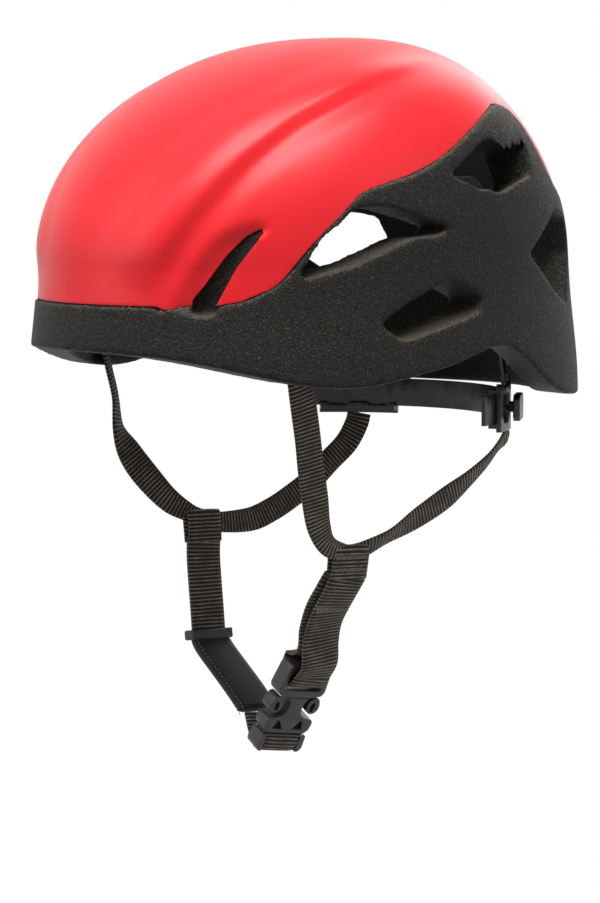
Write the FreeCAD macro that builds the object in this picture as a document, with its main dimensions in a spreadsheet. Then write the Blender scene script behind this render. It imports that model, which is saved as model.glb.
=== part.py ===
import FreeCAD, Part
import math
import os
import Sketcher
from FreeCAD import Placement, Rotation, Vector

# Climbing helmet: foam liner, thin crown shell, comfort pads, chin harness and sizing cradle.
# Millimetres. +Z up, the brow faces -Y, +X is the wearer's left.
# Origin: centre of the head opening, level with the lower edge of the brow.

os.makedirs("parts", exist_ok=True)
doc = FreeCAD.newDocument("climbing_helmet")
sheet = doc.addObject("Spreadsheet::Sheet", "sizes")

SIZES = [
    # dome of the helmet
    ("half_width", 108.8),
    ("half_length", 136.4),
    ("crown_height", 147.5),
    ("widest_height", 40.3),
    ("crown_shift", 17.6),
    ("front_fullness", 2.07),
    ("side_fullness", 2.69),
    ("rear_fullness", 1.57),
    ("skirt_flare", 0.027),
    # liner
    ("liner_side_wall", 18.0),
    ("liner_end_wall", 19.0),
    ("liner_crown_wall", 25.0),
    # rim heights, front to back
    ("brow_edge", 0.0),
    ("temple_edge", -13.6),
    ("ear_edge", 3.0),
    ("nape_edge", -25.0),
    # shell
    ("shell_wall", 2.0),
    ("foam_step", 1.2),
    ("brow_band", 24.0),
    ("slot_depth", 9.0),
    ("valley_half_width", 7.0),
    ("valley_dip", 1.4),
    ("shoulder_across", 9.0),
    ("shoulder_rise", 1.8),
    ("facet_dip", 3.8),
    # crown core
    ("core_wall", 13.0),
    ("core_half_width", 52.0),
    ("core_half_length", 66.0),
    # comfort pads and their hook discs
    ("pad_wall", 7.0),
    ("disc_wall", 1.0),
    ("disc_radius", 8.0),
    ("brow_pad_height", 24.0),
    ("brow_pad_foot", 5.0),
    ("brow_pad_reach", 66.0),
    ("crown_pad_half_width", 21.0),
    ("crown_pad_half_length", 58.0),
    ("side_pad_half_length", 30.0),
    ("side_pad_height", 20.0),
    ("side_pad_foot", 62.0),
    # webbing
    ("strap_width", 15.0),
    ("strap_wall", 1.6),
    ("chin_width", 20.0),
    ("chin_wall", 3.2),
    ("sleeve_width", 25.0),
    ("sleeve_wall", 5.0),
    ("loop_wall", 1.6),
    # strap anchors in the foam
    ("anchor_length", 24.0),
    ("anchor_height", 14.0),
    ("anchor_wall", 2.4),
    ("anchor_inset", 28.8),
    ("anchor_back", -63.3),
    ("anchor_level", 6.0),
    # junction of the side straps below the ear
    ("junction_inset", 47.5),
    ("junction_back", -20.5),
    ("junction_level", -92.0),
    # sizing cradle
    ("belt_wall", 2.0),
    ("belt_inset", 28.8),
    ("belt_back_gap", 35.4),
    ("belt_radius", "=half_width - belt_inset"),
    ("belt_centre", "=half_length - belt_back_gap - belt_wall - belt_radius"),
    ("belt_tall", 14.0),
    ("belt_level", -31.0),
    ("belt_half_angle", 68.0),
    ("tooth_pitch", 2.2),
    ("tooth_depth", 0.6),
    ("guide_angle", 45.4),
    ("guide_half_length", 20.0),
    ("guide_tall", 22.0),
    ("guide_wall", 2.4),
    ("slide_gap", 0.3),
    ("grip_length", 19.0),
    ("grip_tall", 13.0),
    ("grip_wall", 3.4),
    ("grip_stroke", 1.5),
    ("stem_width", 5.0),
    ("hanger_wall", 1.6),
    ("hanger_eye", 5.5),
    ("hanger_arm", 3.6),
    ("pivot_radius", 2.2),
    ("pivot_inset", 37.6),
    ("pivot_ahead", 43.0),
    ("pivot_back", "=belt_centre + pivot_ahead"),
    ("pivot_level", 12.0),
    ("pivot_side", "=half_width - pivot_inset"),
    # buckle
    ("buckle_width", 27.0),
    ("buckle_wall", 8.6),
    ("buckle_skin", 1.7),
    ("socket_length", 30.0),
    ("plug_length", 17.0),
    ("prong_length", 15.5),
    ("prong_wall", 2.6),
    ("prong_gap", 0.3),
    ("key_width", 4.6),
    ("bar_wall", 3.2),
    ("buckle_start_side", 4.0),
    ("buckle_start_level", -188.0),
    ("buckle_lean", 42.0),
    ("chin_plane", -22.0),
    # keeper ring on the chin strap
    ("keeper_tall", 5.0),
    ("keeper_wall", 2.0),
]
for row, (alias, number) in enumerate(SIZES, start=1):
    sheet.set("A%d" % row, alias)
    sheet.set("B%d" % row, str(number))
    sheet.setAlias("B%d" % row, alias)
doc.recompute()


def size(alias):
    return float(sheet.get(alias))


GAP = size("slide_gap")
SIDES = (("left", 1.0), ("right", -1.0))
nodes = {}


def keep(label, shape_or_object, placement=None):
    """Register one sub-part under its node name."""
    if isinstance(shape_or_object, Part.Shape):
        feature = doc.addObject("Part::Feature", label)
        feature.Shape = shape_or_object
    else:
        feature = shape_or_object
    feature.Label = label
    if placement is not None:
        feature.Placement = placement
    nodes[label] = feature
    return feature


# ---------------------------------------------------------------- dome

RING_POINTS = 24
LOW_LEVELS = (-60.0, -20.0, 10.0)
HIGH_STEPS = (0.0, 0.2, 0.4, 0.57, 0.71, 0.82, 0.9, 0.955, 0.985)


def dome_point(turn, climb, level, half_width, half_length, height):
    """A point of the dome: climb 0..1 above the widest level, or None for the skirt below it."""
    side, back = math.cos(turn), math.sin(turn)
    reach = ((side / half_width) ** 2 + (back / half_length) ** 2) ** -0.5
    widest = size("widest_height")
    if climb is None:
        spread = 1.0 + size("skirt_flare") * (widest - level) / widest
        return Vector(reach * spread * side, reach * spread * back, level)
    fullness = (max(-back, 0.0) ** 2 * size("front_fullness")
                + max(back, 0.0) ** 2 * size("rear_fullness")
                + side ** 2 * size("side_fullness"))
    spread = (1.0 - climb ** fullness) ** (1.0 / fullness)
    shift = size("crown_shift") * climb ** 1.5
    return Vector(reach * spread * side, reach * spread * back + shift,
                  widest + (height - widest) * climb)


def dome(grow_side, grow_end, grow_crown):
    """Closed solid of the dome grown by these amounts, flat underneath."""
    half_width = size("half_width") + grow_side
    half_length = size("half_length") + grow_end
    height = size("crown_height") + grow_crown
    wires = []
    steps = [(None, level) for level in LOW_LEVELS] + [(climb, None) for climb in HIGH_STEPS]
    for climb, level in steps:
        points = []
        for count in range(RING_POINTS):
            turn = math.pi / 2 + 2 * math.pi * count / RING_POINTS
            points.append(dome_point(turn, climb, level, half_width, half_length, height))
        curve = Part.BSplineCurve()
        marks = [float(count) for count in range(RING_POINTS + 1)]
        curve.interpolate(Points=points, PeriodicFlag=True, Parameters=marks)
        wires.append(Part.Wire([curve.toShape()]))
    return Part.makeLoft(wires, True, False)


layers = {}


def layer(depth):
    """The moulded form with an even skin of this depth taken off (negative: added)."""
    if depth not in layers:
        form = dome(-depth, -depth, -depth).fuse(both_sides(shoulder(depth)))
        layers[depth] = form.cut(both_sides(valley(depth)) + both_sides(slot_facet(depth)))
    return layers[depth]


def cavity(lift):
    """The room inside the liner, pulled in by lift."""
    return dome(-size("liner_side_wall") - lift, -size("liner_end_wall") - lift,
                -size("liner_crown_wall") - lift)


def both_sides(solid):
    return [solid, solid.mirror(Vector(0, 0, 0), Vector(1, 0, 0))]


# line of the valley that runs from the brow over the crown, as (turn in degrees, climb)
VALLEY_LINE = [(-64.0, 0.02), (-62.4, 0.17), (-57.4, 0.305), (-52.9, 0.43), (-48.6, 0.53),
               (-43.5, 0.61), (-37.0, 0.68), (-28.0, 0.75), (-15.5, 0.82), (-4.0, 0.87)]


def line_frames(depth):
    """Point, outward and sideways directions along the valley, on the form at this depth."""
    half_width, half_length = size("half_width") - depth, size("half_length") - depth
    height = size("crown_height") - depth
    heart = Vector(0, 0, size("widest_height"))
    spots = [dome_point(math.radians(turn), climb, None, half_width, half_length, height)
             for turn, climb in VALLEY_LINE]
    frames = []
    for number, spot in enumerate(spots):
        ahead = spots[min(number + 1, len(spots) - 1)] - spots[max(number - 1, 0)]
        out = (spot - heart).normalize()
        aside = ahead.cross(out).normalize()
        frames.append((spot, aside.cross(ahead).normalize(), aside))
    return frames


def strip_along(depth, section):
    """Loft of one cross-section along the valley. Its heights fade out at both ends."""
    wires = []
    frames = line_frames(depth)
    for number, (spot, out, aside) in enumerate(frames):
        fade = min(1.0, 0.5 * (number + 0.5), 0.5 * (len(frames) - number - 0.5))
        points = [spot + aside * across + out * (low + rise * fade)
                  for across, low, rise in section]
        wires.append(Part.makePolygon(points + [points[0]]))
    return Part.makeLoft(wires, True, True)


def valley(depth):
    """Cutter for the shallow valley beside the raised shoulder."""
    across, dip = size("valley_half_width"), size("valley_dip")
    return strip_along(depth, [(0, 0.3, -dip - 0.3), (3 * across, 2 * dip + 0.3, dip),
                               (-3 * across, 2 * dip + 0.3, dip)])


def shoulder(depth):
    """Raised band outboard of the valley."""
    across, rise = size("shoulder_across"), size("shoulder_rise")
    return strip_along(depth, [(0, -1.0, 0), (across, -1.4, rise + 1.4),
                               (2.2 * across, -4.6, 0), (across, -9.0, 0)])


def slot_facet(depth):
    """Cutter for the sunk facet between the shell's crown and the lamp slot."""
    turn = math.radians(SLOT_TURN)
    along = Vector(-math.sin(turn), math.cos(turn), 0)
    forward = Vector(math.cos(turn), math.sin(turn), 0)
    wires = []
    for (edge_a, edge_up), (slot_a, slot_up) in zip(FACET_EDGE, FACET_SLOT):
        edge = form_at(edge_a, edge_up, turn) - depth
        foot = form_at(slot_a, slot_up, turn) - depth - size("facet_dip")
        points = [along * edge_a + Vector(0, 0, edge_up) + forward * edge,
                  along * slot_a + Vector(0, 0, slot_up) + forward * foot,
                  along * slot_a + Vector(0, 0, slot_up) + forward * (foot + 30.0),
                  along * edge_a + Vector(0, 0, edge_up) + forward * (edge + 20.0)]
        wires.append(Part.makePolygon(points + [points[0]]))
    return Part.makeLoft(wires, True, True)


def form_at(across, up, turn):
    """How far along its own line a point of the slot's plane leaves the dome."""
    ground = Vector(-math.sin(turn), math.cos(turn), 0) * across
    low, high = 0.0, 2.0 * size("half_length")
    for halving in range(30):
        reach = 0.5 * (low + high)
        spot = ground + Vector(math.cos(turn), math.sin(turn), 0) * reach
        if inside_dome(spot.x, spot.y, up):
            low = reach
        else:
            high = reach
    return low


def inside_dome(x, y, level):
    widest, height = size("widest_height"), size("crown_height")
    climb = None
    if level > widest:
        climb = (level - widest) / (height - widest)
        y -= size("crown_shift") * climb ** 1.5
    edge = dome_point(math.atan2(y, x), climb, level, size("half_width"), size("half_length"),
                      height)
    if climb is not None:
        edge.y -= size("crown_shift") * climb ** 1.5
    return math.hypot(x, y) < math.hypot(edge.x, edge.y)


SLOT_TURN = -50.0
# the facet's crease and the slot's edge below it, in the slot's own plane
FACET_EDGE = [(-36, 24), (-30, 34), (-20.5, 49), (-11, 59), (0, 63.5), (9, 64.5)]
FACET_SLOT = [(-25, 20), (-24.2, 27), (-12.8, 41.7), (-4.1, 52), (4.5, 58), (9, 61)]


SPAN = 2.0 * (size("half_length") + size("crown_shift"))


def side_profile(curve_points, top):
    """Solid across the helmet under or over a side view curve, given as (back, up) points."""
    curve = Part.BSplineCurve()
    curve.interpolate([Vector(-SPAN / 2, back, up) for back, up in curve_points])
    first, last = curve_points[0], curve_points[-1]
    corners = [Vector(-SPAN / 2, last[0], last[1]), Vector(-SPAN / 2, last[0], top),
               Vector(-SPAN / 2, first[0], top), Vector(-SPAN / 2, first[0], first[1])]
    edges = [curve.toShape()] + [Part.LineSegment(a, b).toShape()
                                 for a, b in zip(corners[:-1], corners[1:])]
    return Part.Face(Part.Wire(edges)).extrude(Vector(SPAN, 0, 0))


def under_rim():
    """Everything below the rim: shallow brow, deep temple, raised ear, low nape."""
    brow, temple = size("brow_edge"), size("temple_edge")
    ear, nape = size("ear_edge"), size("nape_edge")
    curve = [(-SPAN / 2, brow + 0.3), (-120, brow - 0.2), (-88, 0.62 * temple), (-52, temple),
             (-18, 0.62 * temple), (12, 0.1 * temple), (32, ear), (52, 0.2 * nape),
             (76, 0.78 * nape), (104, nape), (SPAN / 2, nape - 1.0)]
    return side_profile(curve, -2.0 * size("half_width"))


def shell_zone():
    """The part of the dome that the shell covers: brow, temples and a band down the back."""
    band = size("brow_band")
    low = [(-SPAN / 2, band), (-112, band), (-96, band + 2.0), (-86, band + 7.0)]
    rise = [(-79, 36), (-68, 50), (-54, 65), (-43, 75.5), (-31, 79.5), (-18, 83), (0, 91),
            (22, 103.5), (38, 112)]
    spine = [(50, 116), (64, 111), (75, 98), (84, 84), (100, 73), (SPAN / 2, 62)]
    edges = []
    points = low + rise + spine
    bends = [points[:4], points[3:14], points[13:]]
    for bend in bends:
        curve = Part.BSplineCurve()
        curve.interpolate([Vector(-SPAN / 2, back, up) for back, up in bend])
        edges.append(curve.toShape())
    top = 2.0 * size("crown_height")
    corners = [Vector(-SPAN / 2, SPAN / 2, 62), Vector(-SPAN / 2, SPAN / 2, top),
               Vector(-SPAN / 2, -SPAN / 2, top), Vector(-SPAN / 2, -SPAN / 2, band)]
    edges += [Part.LineSegment(a, b).toShape() for a, b in zip(corners[:-1], corners[1:])]
    return Part.Face(Part.Wire(edges)).extrude(Vector(SPAN, 0, 0))


def window(turn, tilt, outline, inner_scale, outer_reach, inner_reach):
    """Tapered cutter through the wall. Its outline is drawn looking along the line that leaves
    the helmet at this turn from +X and this tilt, and it narrows towards the head."""
    turn, tilt = math.radians(turn), math.radians(tilt)
    out = Vector(math.cos(tilt) * math.cos(turn), math.cos(tilt) * math.sin(turn), math.sin(tilt))
    along = Vector(-math.sin(turn), math.cos(turn), 0)
    upward = out.cross(along)
    mid_a = sum(p[0] for p in outline) / len(outline)
    mid_u = sum(p[1] for p in outline) / len(outline)
    wires = []
    for reach, scale in ((outer_reach, 1.0), (inner_reach, inner_scale)):
        points = []
        for a, u in outline:
            pa = mid_a + (a - mid_a) * scale
            pu = mid_u + (u - mid_u) * scale
            points.append(out * reach + along * pa + upward * pu)
        wires.append(Part.makePolygon(points + [points[0]]))
    return Part.makeLoft(wires, True, True)


# turn, tilt, outline, scale at the head, and how far out and in from the widest side
VENTS = [
    (0, 0, [(-79, 33), (-66, 54), (-47, 69.5), (-31, 70), (10, 57.5), (-20, 54), (-50, 41)],
     0.72, 9.2, 48.8),
    (0, 0, [(-42, 14), (-27, 24), (2, 37), (25, 27), (21, 19), (-28, 6)], 0.45, 9.2, 38.8),
    (20, 32, [(-35, 17), (-17, 25), (3, 33), (14, 38), (31, 34), (27, 12), (-2, 4), (-22, 9)],
     0.55, 31.2, 30.8),
    (46, 0, [(-43, 45), (-29, 55), (-3, 70), (28, 64), (36, 45), (14, 14), (-8, 22)],
     0.45, 41.2, 38.8),
]


def vents():
    """Side, lower, upper rear and back vents, each mirrored."""
    cutters = []
    for turn, tilt, outline, inner_scale, beyond, within in VENTS:
        cutters += both_sides(window(turn, tilt, outline, inner_scale,
                                     size("half_width") + beyond, size("half_width") - within))
    return cutters


def slots():
    """Slanting slots either side of the brow, for a lamp's clips."""
    outline = [(-24.5, 20.0), (-24, 27), (-12.8, 41.7), (-4.1, 52), (4.5, 58), (7.5, 59.5),
               (6, 54), (-3.5, 41), (-12.5, 20.0)]
    surface = dome_point(math.radians(SLOT_TURN), None, size("brow_band"), size("half_width"),
                         size("half_length"), size("crown_height")).Length
    deep = window(SLOT_TURN, 0, outline, 1.0, 1.2 * surface, surface - size("slot_depth"))
    return both_sides(deep)


def core_prism():
    """Upright oval through the crown that bounds the core."""
    oval = Part.Ellipse(Vector(0, size("crown_shift"), size("widest_height")),
                        size("core_half_length"), size("core_half_width"))
    oval.rotate(Placement(Vector(), Rotation(Vector(0, 0, 1), 90),
                                  Vector(0, size("crown_shift"), 0)))
    face = Part.Face(Part.Wire([oval.toShape()]))
    return face.extrude(Vector(0, 0, 2 * size("crown_height")))


# where the front straps leave the rim
ANCHOR_SIDE = size("half_width") - size("anchor_inset")
ANCHOR_BACK, ANCHOR_LEVEL = size("anchor_back"), size("anchor_level")
# how far out the cradle's pivot pins and their collars reach
PIN_END = size("pivot_side") + 18.0
COLLAR_END = size("pivot_side") + 9.0
COLLAR_RADIUS = 2.0 * size("pivot_radius")


def mirrored(solid, sign):
    return solid if sign > 0 else solid.mirror(Vector(0, 0, 0), Vector(1, 0, 0))


def anchor_pocket(sign):
    """Recess inside the temple for the strap anchor, open to the head and underneath."""
    length = size("anchor_length") + 2 * GAP
    deep = ANCHOR_SIDE + size("anchor_wall") / 2
    shallow = deep - size("liner_side_wall")
    low = 2.0 * size("temple_edge")
    high = ANCHOR_LEVEL + size("anchor_height") / 2 + GAP
    pocket = Part.makeBox(deep - shallow, length, high - low,
                          Vector(shallow, ANCHOR_BACK - length / 2, low))
    return mirrored(pocket, sign)


def pivot_seat(sign):
    """Bore and counterbore in the liner for a cradle pivot."""
    start = Vector(0, size("pivot_back"), size("pivot_level"))
    bore = Part.makeCylinder(size("pivot_radius"), PIN_END, start, Vector(1, 0, 0))
    collar = Part.makeCylinder(COLLAR_RADIUS, COLLAR_END, start, Vector(1, 0, 0))
    return mirrored(bore.fuse(collar), sign)


def make_foam_liner(zone, core_room):
    outer = layer(-size("foam_step"))
    body = outer.cut(cavity(0.0)).cut(under_rim())
    body = body.cut(zone.cut(layer(size("shell_wall"))))
    body = body.cut(core_room)
    for sign in (1.0, -1.0):
        body = body.cut(anchor_pocket(sign))
    body = body.cut(vents())
    body = body.cut(slots())
    for side, sign in SIDES:
        body = body.cut(pivot_seat(sign))
    biggest = max(body.Solids, key=lambda solid: solid.Volume)
    keep("foam_liner", biggest)


def make_outer_shell(zone):
    skin = layer(0.0).cut(layer(size("shell_wall"))).common(zone)
    skin = skin.cut(slots())
    keep("outer_shell", max(skin.Solids, key=lambda solid: solid.Volume))


def make_crown_core(prism):
    top = layer(size("shell_wall"))
    core = top.cut(layer(size("shell_wall") + size("core_wall"))).common(prism)
    keep("crown_core", max(core.Solids, key=lambda solid: solid.Volume))


# ---------------------------------------------------------------- pads

def pad_layer():
    return cavity(size("disc_wall")).cut(cavity(size("disc_wall") + size("pad_wall")))


def rounded_prism(half_a, half_b, corner, height):
    """Upright prism with rounded corners about the origin."""
    box = Part.makeBox(2 * half_a, 2 * half_b, height, Vector(-half_a, -half_b, 0))
    upright = [edge for edge in box.Edges
               if abs(edge.Vertexes[0].Point.z - edge.Vertexes[1].Point.z) > height / 2]
    return box.makeFillet(corner, upright)


def make_pads():
    skin = pad_layer()
    foot = size("brow_pad_foot")
    reach = size("brow_pad_reach")
    brow_box = rounded_prism(reach, size("brow_pad_height") / 2, size("brow_pad_height") * 0.4,
                             size("half_length"))
    brow_box.rotate(Vector(0, 0, 0), Vector(1, 0, 0), 90)
    brow_box.translate(Vector(0, 0, foot + size("brow_pad_height") / 2))
    brow = skin.common(brow_box)
    keep("brow_pad", max(brow.Solids, key=lambda solid: solid.Volume))

    crown_box = rounded_prism(size("crown_pad_half_width"), size("crown_pad_half_length"),
                              size("crown_pad_half_width") * 0.6, size("crown_height"))
    crown_box.translate(Vector(0, size("crown_shift"), size("widest_height")))
    crown = skin.common(crown_box)
    keep("crown_pad", max(crown.Solids, key=lambda solid: solid.Volume))

    for side, sign in SIDES:
        prism = rounded_prism(size("side_pad_height") / 2, size("side_pad_half_length"),
                              size("side_pad_height") * 0.4, size("half_width"))
        prism.rotate(Vector(0, 0, 0), Vector(0, 1, 0), 90 * sign)
        prism.translate(Vector(0, size("crown_shift"), size("side_pad_foot")
                               + size("side_pad_height") / 2))
        pad = skin.common(prism)
        keep("side_pad_" + side, max(pad.Solids, key=lambda solid: solid.Volume))


def make_pad_discs():
    """Hook discs that hold the pads to the foam, one group."""
    skin = cavity(0.0).cut(cavity(size("disc_wall")))
    radius = size("disc_radius")
    brow_level = size("brow_pad_foot") + size("brow_pad_height") / 2
    side_level = size("side_pad_foot") + size("side_pad_height") / 2
    far = size("half_length")
    posts = []
    for across in (-0.6, 0.0, 0.6):
        posts.append(Part.makeCylinder(radius, far, Vector(across * size("brow_pad_reach"), 0,
                                       brow_level), Vector(0, -1, 0)))
    for along in (-0.55, 0.55):
        back = size("crown_shift") + along * size("crown_pad_half_length")
        posts.append(Part.makeCylinder(radius, size("crown_height"),
                                       Vector(0, back, size("widest_height"))))
    for side, sign in SIDES:
        posts.append(Part.makeCylinder(radius, size("half_width"),
                                       Vector(0, size("crown_shift"), side_level),
                                       Vector(sign, 0, 0)))
    discs = [max(skin.common(post).Solids, key=lambda solid: solid.Volume) for post in posts]
    keep("pad_discs", Part.Compound(discs))


# ---------------------------------------------------------------- sketches

def add_loop(sketch, points):
    """Closed loop of straight lines through these points."""
    first = sketch.GeometryCount
    for a, b in zip(points, points[1:] + points[:1]):
        sketch.addGeometry(Part.LineSegment(Vector(a[0], a[1], 0), Vector(b[0], b[1], 0)), False)
    count = len(points)
    for number in range(count):
        after = (number + 1) % count
        sketch.addConstraint(Sketcher.Constraint("Coincident", first + number, 2,
                                                 first + after, 1))


def new_sketch(body, role, name, lift=0.0):
    sketch = body.newObject("Sketcher::SketchObject", name)
    plane = [item for item in body.Origin.OriginFeatures if item.Role == role][0]
    sketch.AttachmentSupport = [(plane, "")]
    sketch.MapMode = "FlatFace"
    sketch.AttachmentOffset = Placement(Vector(0, 0, lift), Rotation())
    return sketch


def new_body(label):
    body = doc.addObject("PartDesign::Body", label)
    body.Label = label
    return body


def pad(body, sketch, expression, midplane=True):
    feature = body.newObject("PartDesign::Pad", sketch.Name + "_pad")
    feature.Profile = sketch
    if midplane:
        feature.SideType = "Symmetric"
    feature.setExpression("Length", expression)
    return feature


def pocket(body, sketch, expression=None, midplane=True):
    feature = body.newObject("PartDesign::Pocket", sketch.Name + "_pocket")
    feature.Profile = sketch
    if midplane:
        feature.SideType = "Symmetric"
    if expression is None:
        feature.Type = "ThroughAll"
    else:
        feature.setExpression("Length", expression)
    return feature


def aim(origin, along, across):
    """Placement whose local Z runs along a direction and whose local X is nearest to across."""
    along = Vector(along).normalize()
    thick = along.cross(Vector(across)).normalize()
    across = thick.cross(along)
    return Placement(Vector(origin), Rotation(across, thick, along, "ZXY"))


# ---------------------------------------------------------------- webbing

def ribbon(points, outward, width, wall):
    """Flat strip through these points. Its face looks along the outward directions."""
    points = [Vector(point) for point in points]
    wires = []
    for number, point in enumerate(points):
        before = points[max(number - 1, 0)]
        after = points[min(number + 1, len(points) - 1)]
        along = (after - before).normalize()
        across = along.cross(Vector(outward[number])).normalize()
        normal = across.cross(along)
        corners = [point + across * (a * width / 2) + normal * (b * wall / 2)
                   for a, b in ((-1, -1), (1, -1), (1, 1), (-1, 1))]
        wires.append(Part.makePolygon(corners + [corners[0]]))
    return Part.makeLoft(wires, True, True)


CHIN = size("chin_plane")
LEAN = math.radians(size("buckle_lean"))
BUCKLE_AXIS = Vector(math.sin(LEAN), 0, math.cos(LEAN))
BUCKLE_FACE = Vector(math.cos(LEAN), 0, -math.sin(LEAN))
BUCKLE_START = Vector(size("buckle_start_side"), CHIN, size("buckle_start_level"))
BUCKLE_LENGTH = size("socket_length") + GAP + size("plug_length")
BUCKLE_END = BUCKLE_START + BUCKLE_AXIS * BUCKLE_LENGTH

# junction of the front and rear straps below the ear, and the chin strap's line from it
JUNCTION = Vector(size("half_width") - size("junction_inset"), size("junction_back"),
                  size("junction_level"))
LOOP_TALL = 15.0
LOOP_SLOT = 2 * size("strap_wall") + 4 * GAP
SLEEVE_TOP = Vector(52.0, CHIN, -152.0)
# how the front strap leaves its anchor and the rear strap its guide, as steps from there
FRONT_STEPS = [(0, 0, -13), (-2.5, 5.8, -34), (-7, 11.8, -55), (-12.5, 21.8, -75)]
REAR_STEPS = [(0, 0, -3), (1.7, -2.6, -8.7), (3, -19.6, -20.7), (3.5, -41.6, -35.7),
              (2, -67.6, -41.7)]


def chin_line(sign):
    """Start, direction and end of the chin strap on one side."""
    end = BUCKLE_END if sign > 0 else SLEEVE_TOP
    start = JUNCTION
    return start, (end - start).normalize(), end


def make_side_webbing(side, sign):
    wall, width = size("strap_wall"), size("strap_width")
    start, along, end = chin_line(sign)
    shift = Vector(0, -1, 0).cross(along).normalize() * (wall / 2 + GAP)
    mouth = start - along * 6.0
    tail = start + along * (LOOP_TALL - 3.0)
    anchor_foot = ANCHOR_LEVEL - size("anchor_height") / 2
    hook = Vector(ANCHOR_SIDE, ANCHOR_BACK, anchor_foot)
    front = [hook] + [hook + Vector(*step) for step in FRONT_STEPS]
    front += [mouth + shift * 1.8, start + shift, tail + shift]
    face = [(1, 0, 0)] * len(front)
    keep("front_strap_" + side, mirrored(ribbon(front, face, width, wall), sign))

    angle = math.radians(size("guide_angle"))
    radius = size("belt_radius") + size("belt_wall") + GAP + size("guide_wall") / 2
    guide_foot = size("belt_level") - size("guide_tall") / 2 - GAP
    top = Vector(radius * math.sin(angle), size("belt_centre") + radius * math.cos(angle),
                 guide_foot)
    outer = (math.sin(angle), math.cos(angle), 0)
    rear = [top] + [top + Vector(*step) for step in REAR_STEPS]
    rear += [mouth - shift * 1.8, start - shift, tail - shift]
    face = [outer, outer, outer, (1, 0.3, 0)] + [(1, 0, 0)] * 5
    keep("rear_strap_" + side, mirrored(ribbon(rear, face, width * 0.8, wall), sign))

    # stitched loop that gathers both straps, closed at its foot
    slot_width = width + 2 * GAP
    outer_box = Part.makeBox(size("chin_width"), LOOP_SLOT + 2 * size("loop_wall"), LOOP_TALL,
                             Vector(-size("chin_width") / 2,
                                    -LOOP_SLOT / 2 - size("loop_wall"), 0))
    slot = Part.makeBox(slot_width, LOOP_SLOT, LOOP_TALL - 2.0,
                        Vector(-slot_width / 2, -LOOP_SLOT / 2, 0))
    loop = outer_box.cut(slot)
    loop.Placement = aim(start, along, (0, -1, 0))
    keep("junction_loop_" + side, mirrored(loop, sign))

    foot = start + along * LOOP_TALL
    entry = BUCKLE_AXIS if sign > 0 else along * -1.0
    chin = [foot, foot + (end - foot) * 0.5, end + entry * 8.0, end]
    strip = ribbon(chin, [(1, 0, 0)] * 4, size("chin_width"), size("chin_wall"))
    keep("chin_strap_" + side, mirrored(strip, sign))


def make_sleeve_and_tab():
    """Smooth chin sleeve on the far side, and the webbing tab that holds the socket."""
    along, top = chin_line(-1.0)[1:]
    top = Vector(-top.x, top.y, top.z)
    foot = Vector(-3.5, CHIN, -189.0)
    down = Vector(-along.x, along.y, along.z)
    sleeve = [top, top + down * 4.0, Vector(-45, CHIN, -162), Vector(-26, CHIN, -175.5), foot]
    face = [(-1, 0, -0.3), (-1, 0, -0.3), (-0.85, 0, -0.6), (-0.6, 0, -0.8), (-0.6, 0, -0.8)]
    last = (sleeve[-1] - sleeve[-2]).normalize()
    keep("chin_sleeve", ribbon(sleeve, face, size("sleeve_width"), size("sleeve_wall")))

    wall = size("chin_wall")
    entry = BUCKLE_START
    tab = [foot, foot + last * 2.0, entry - BUCKLE_AXIS * 2.0, entry]
    face = [(-0.6, 0, -0.8), (-0.3, 0, -1), BUCKLE_FACE, BUCKLE_FACE]
    keep("socket_tab", ribbon(tab, face, size("chin_width"), wall))


def make_keeper():
    """Elastic ring round the far chin strap. It slides up and down the strap."""
    along, top = chin_line(-1.0)[1:]
    inner_a = size("chin_width") / 2 + GAP
    inner_b = size("chin_wall") / 2 + GAP
    wall = size("keeper_wall")
    body = new_body("strap_keeper")
    sketch = new_sketch(body, "XY_Plane", "keeper_ring")
    a, b = inner_a + wall, inner_b + wall
    add_loop(sketch, [(-a, -b), (a, -b), (a, b), (-a, b)])
    add_loop(sketch, [(-inner_a, -inner_b), (inner_a, -inner_b), (inner_a, inner_b),
                      (-inner_a, inner_b)])
    pad(body, sketch, "sizes.keeper_tall", midplane=False)
    doc.recompute()
    place = top - along * (size("keeper_tall") + 2.0)
    spot = Vector(-place.x, place.y, place.z)
    down = Vector(-along.x, along.y, along.z)
    keep("strap_keeper", body, aim(spot, down, (0, -1, 0)))


def make_anchor(side, sign):
    """Slotted plate in the temple recess that the front strap hangs from."""
    body = new_body("strap_anchor_" + side)
    sketch = new_sketch(body, "YZ_Plane", "anchor_plate_" + side)
    a, b = size("anchor_length") / 2, size("anchor_height") / 2
    c = 0.25 * b
    add_loop(sketch, [(-a + c, -b), (a - c, -b), (a, -b + c), (a, b - c), (a - c, b),
                      (-a + c, b), (-a, b - c), (-a, -b + c)])
    d, e = size("strap_width") / 2, size("strap_wall")
    add_loop(sketch, [(-d, -e), (d, -e), (d, e), (-d, e)])
    pad(body, sketch, "sizes.anchor_wall")
    keep("strap_anchor_" + side, body,
         Placement(Vector(sign * ANCHOR_SIDE, ANCHOR_BACK, ANCHOR_LEVEL), Rotation()))


# ---------------------------------------------------------------- sizing cradle

def revolve(body, sketch, expression):
    feature = body.newObject("PartDesign::Revolution", sketch.Name + "_turn")
    feature.Profile = sketch
    axis = [item for item in body.Origin.OriginFeatures if item.Role == "Z_Axis"][0]
    feature.ReferenceAxis = (axis, [""])
    feature.Midplane = True
    feature.setExpression("Angle", expression)
    return feature


def cradle_place(angle):
    """Placement on the belt's arc, local +X pointing out at this angle from the nape."""
    return Placement(Vector(0, size("belt_centre"), size("belt_level")),
                     Rotation(Vector(0, 0, 1), 90.0 - angle))


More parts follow.
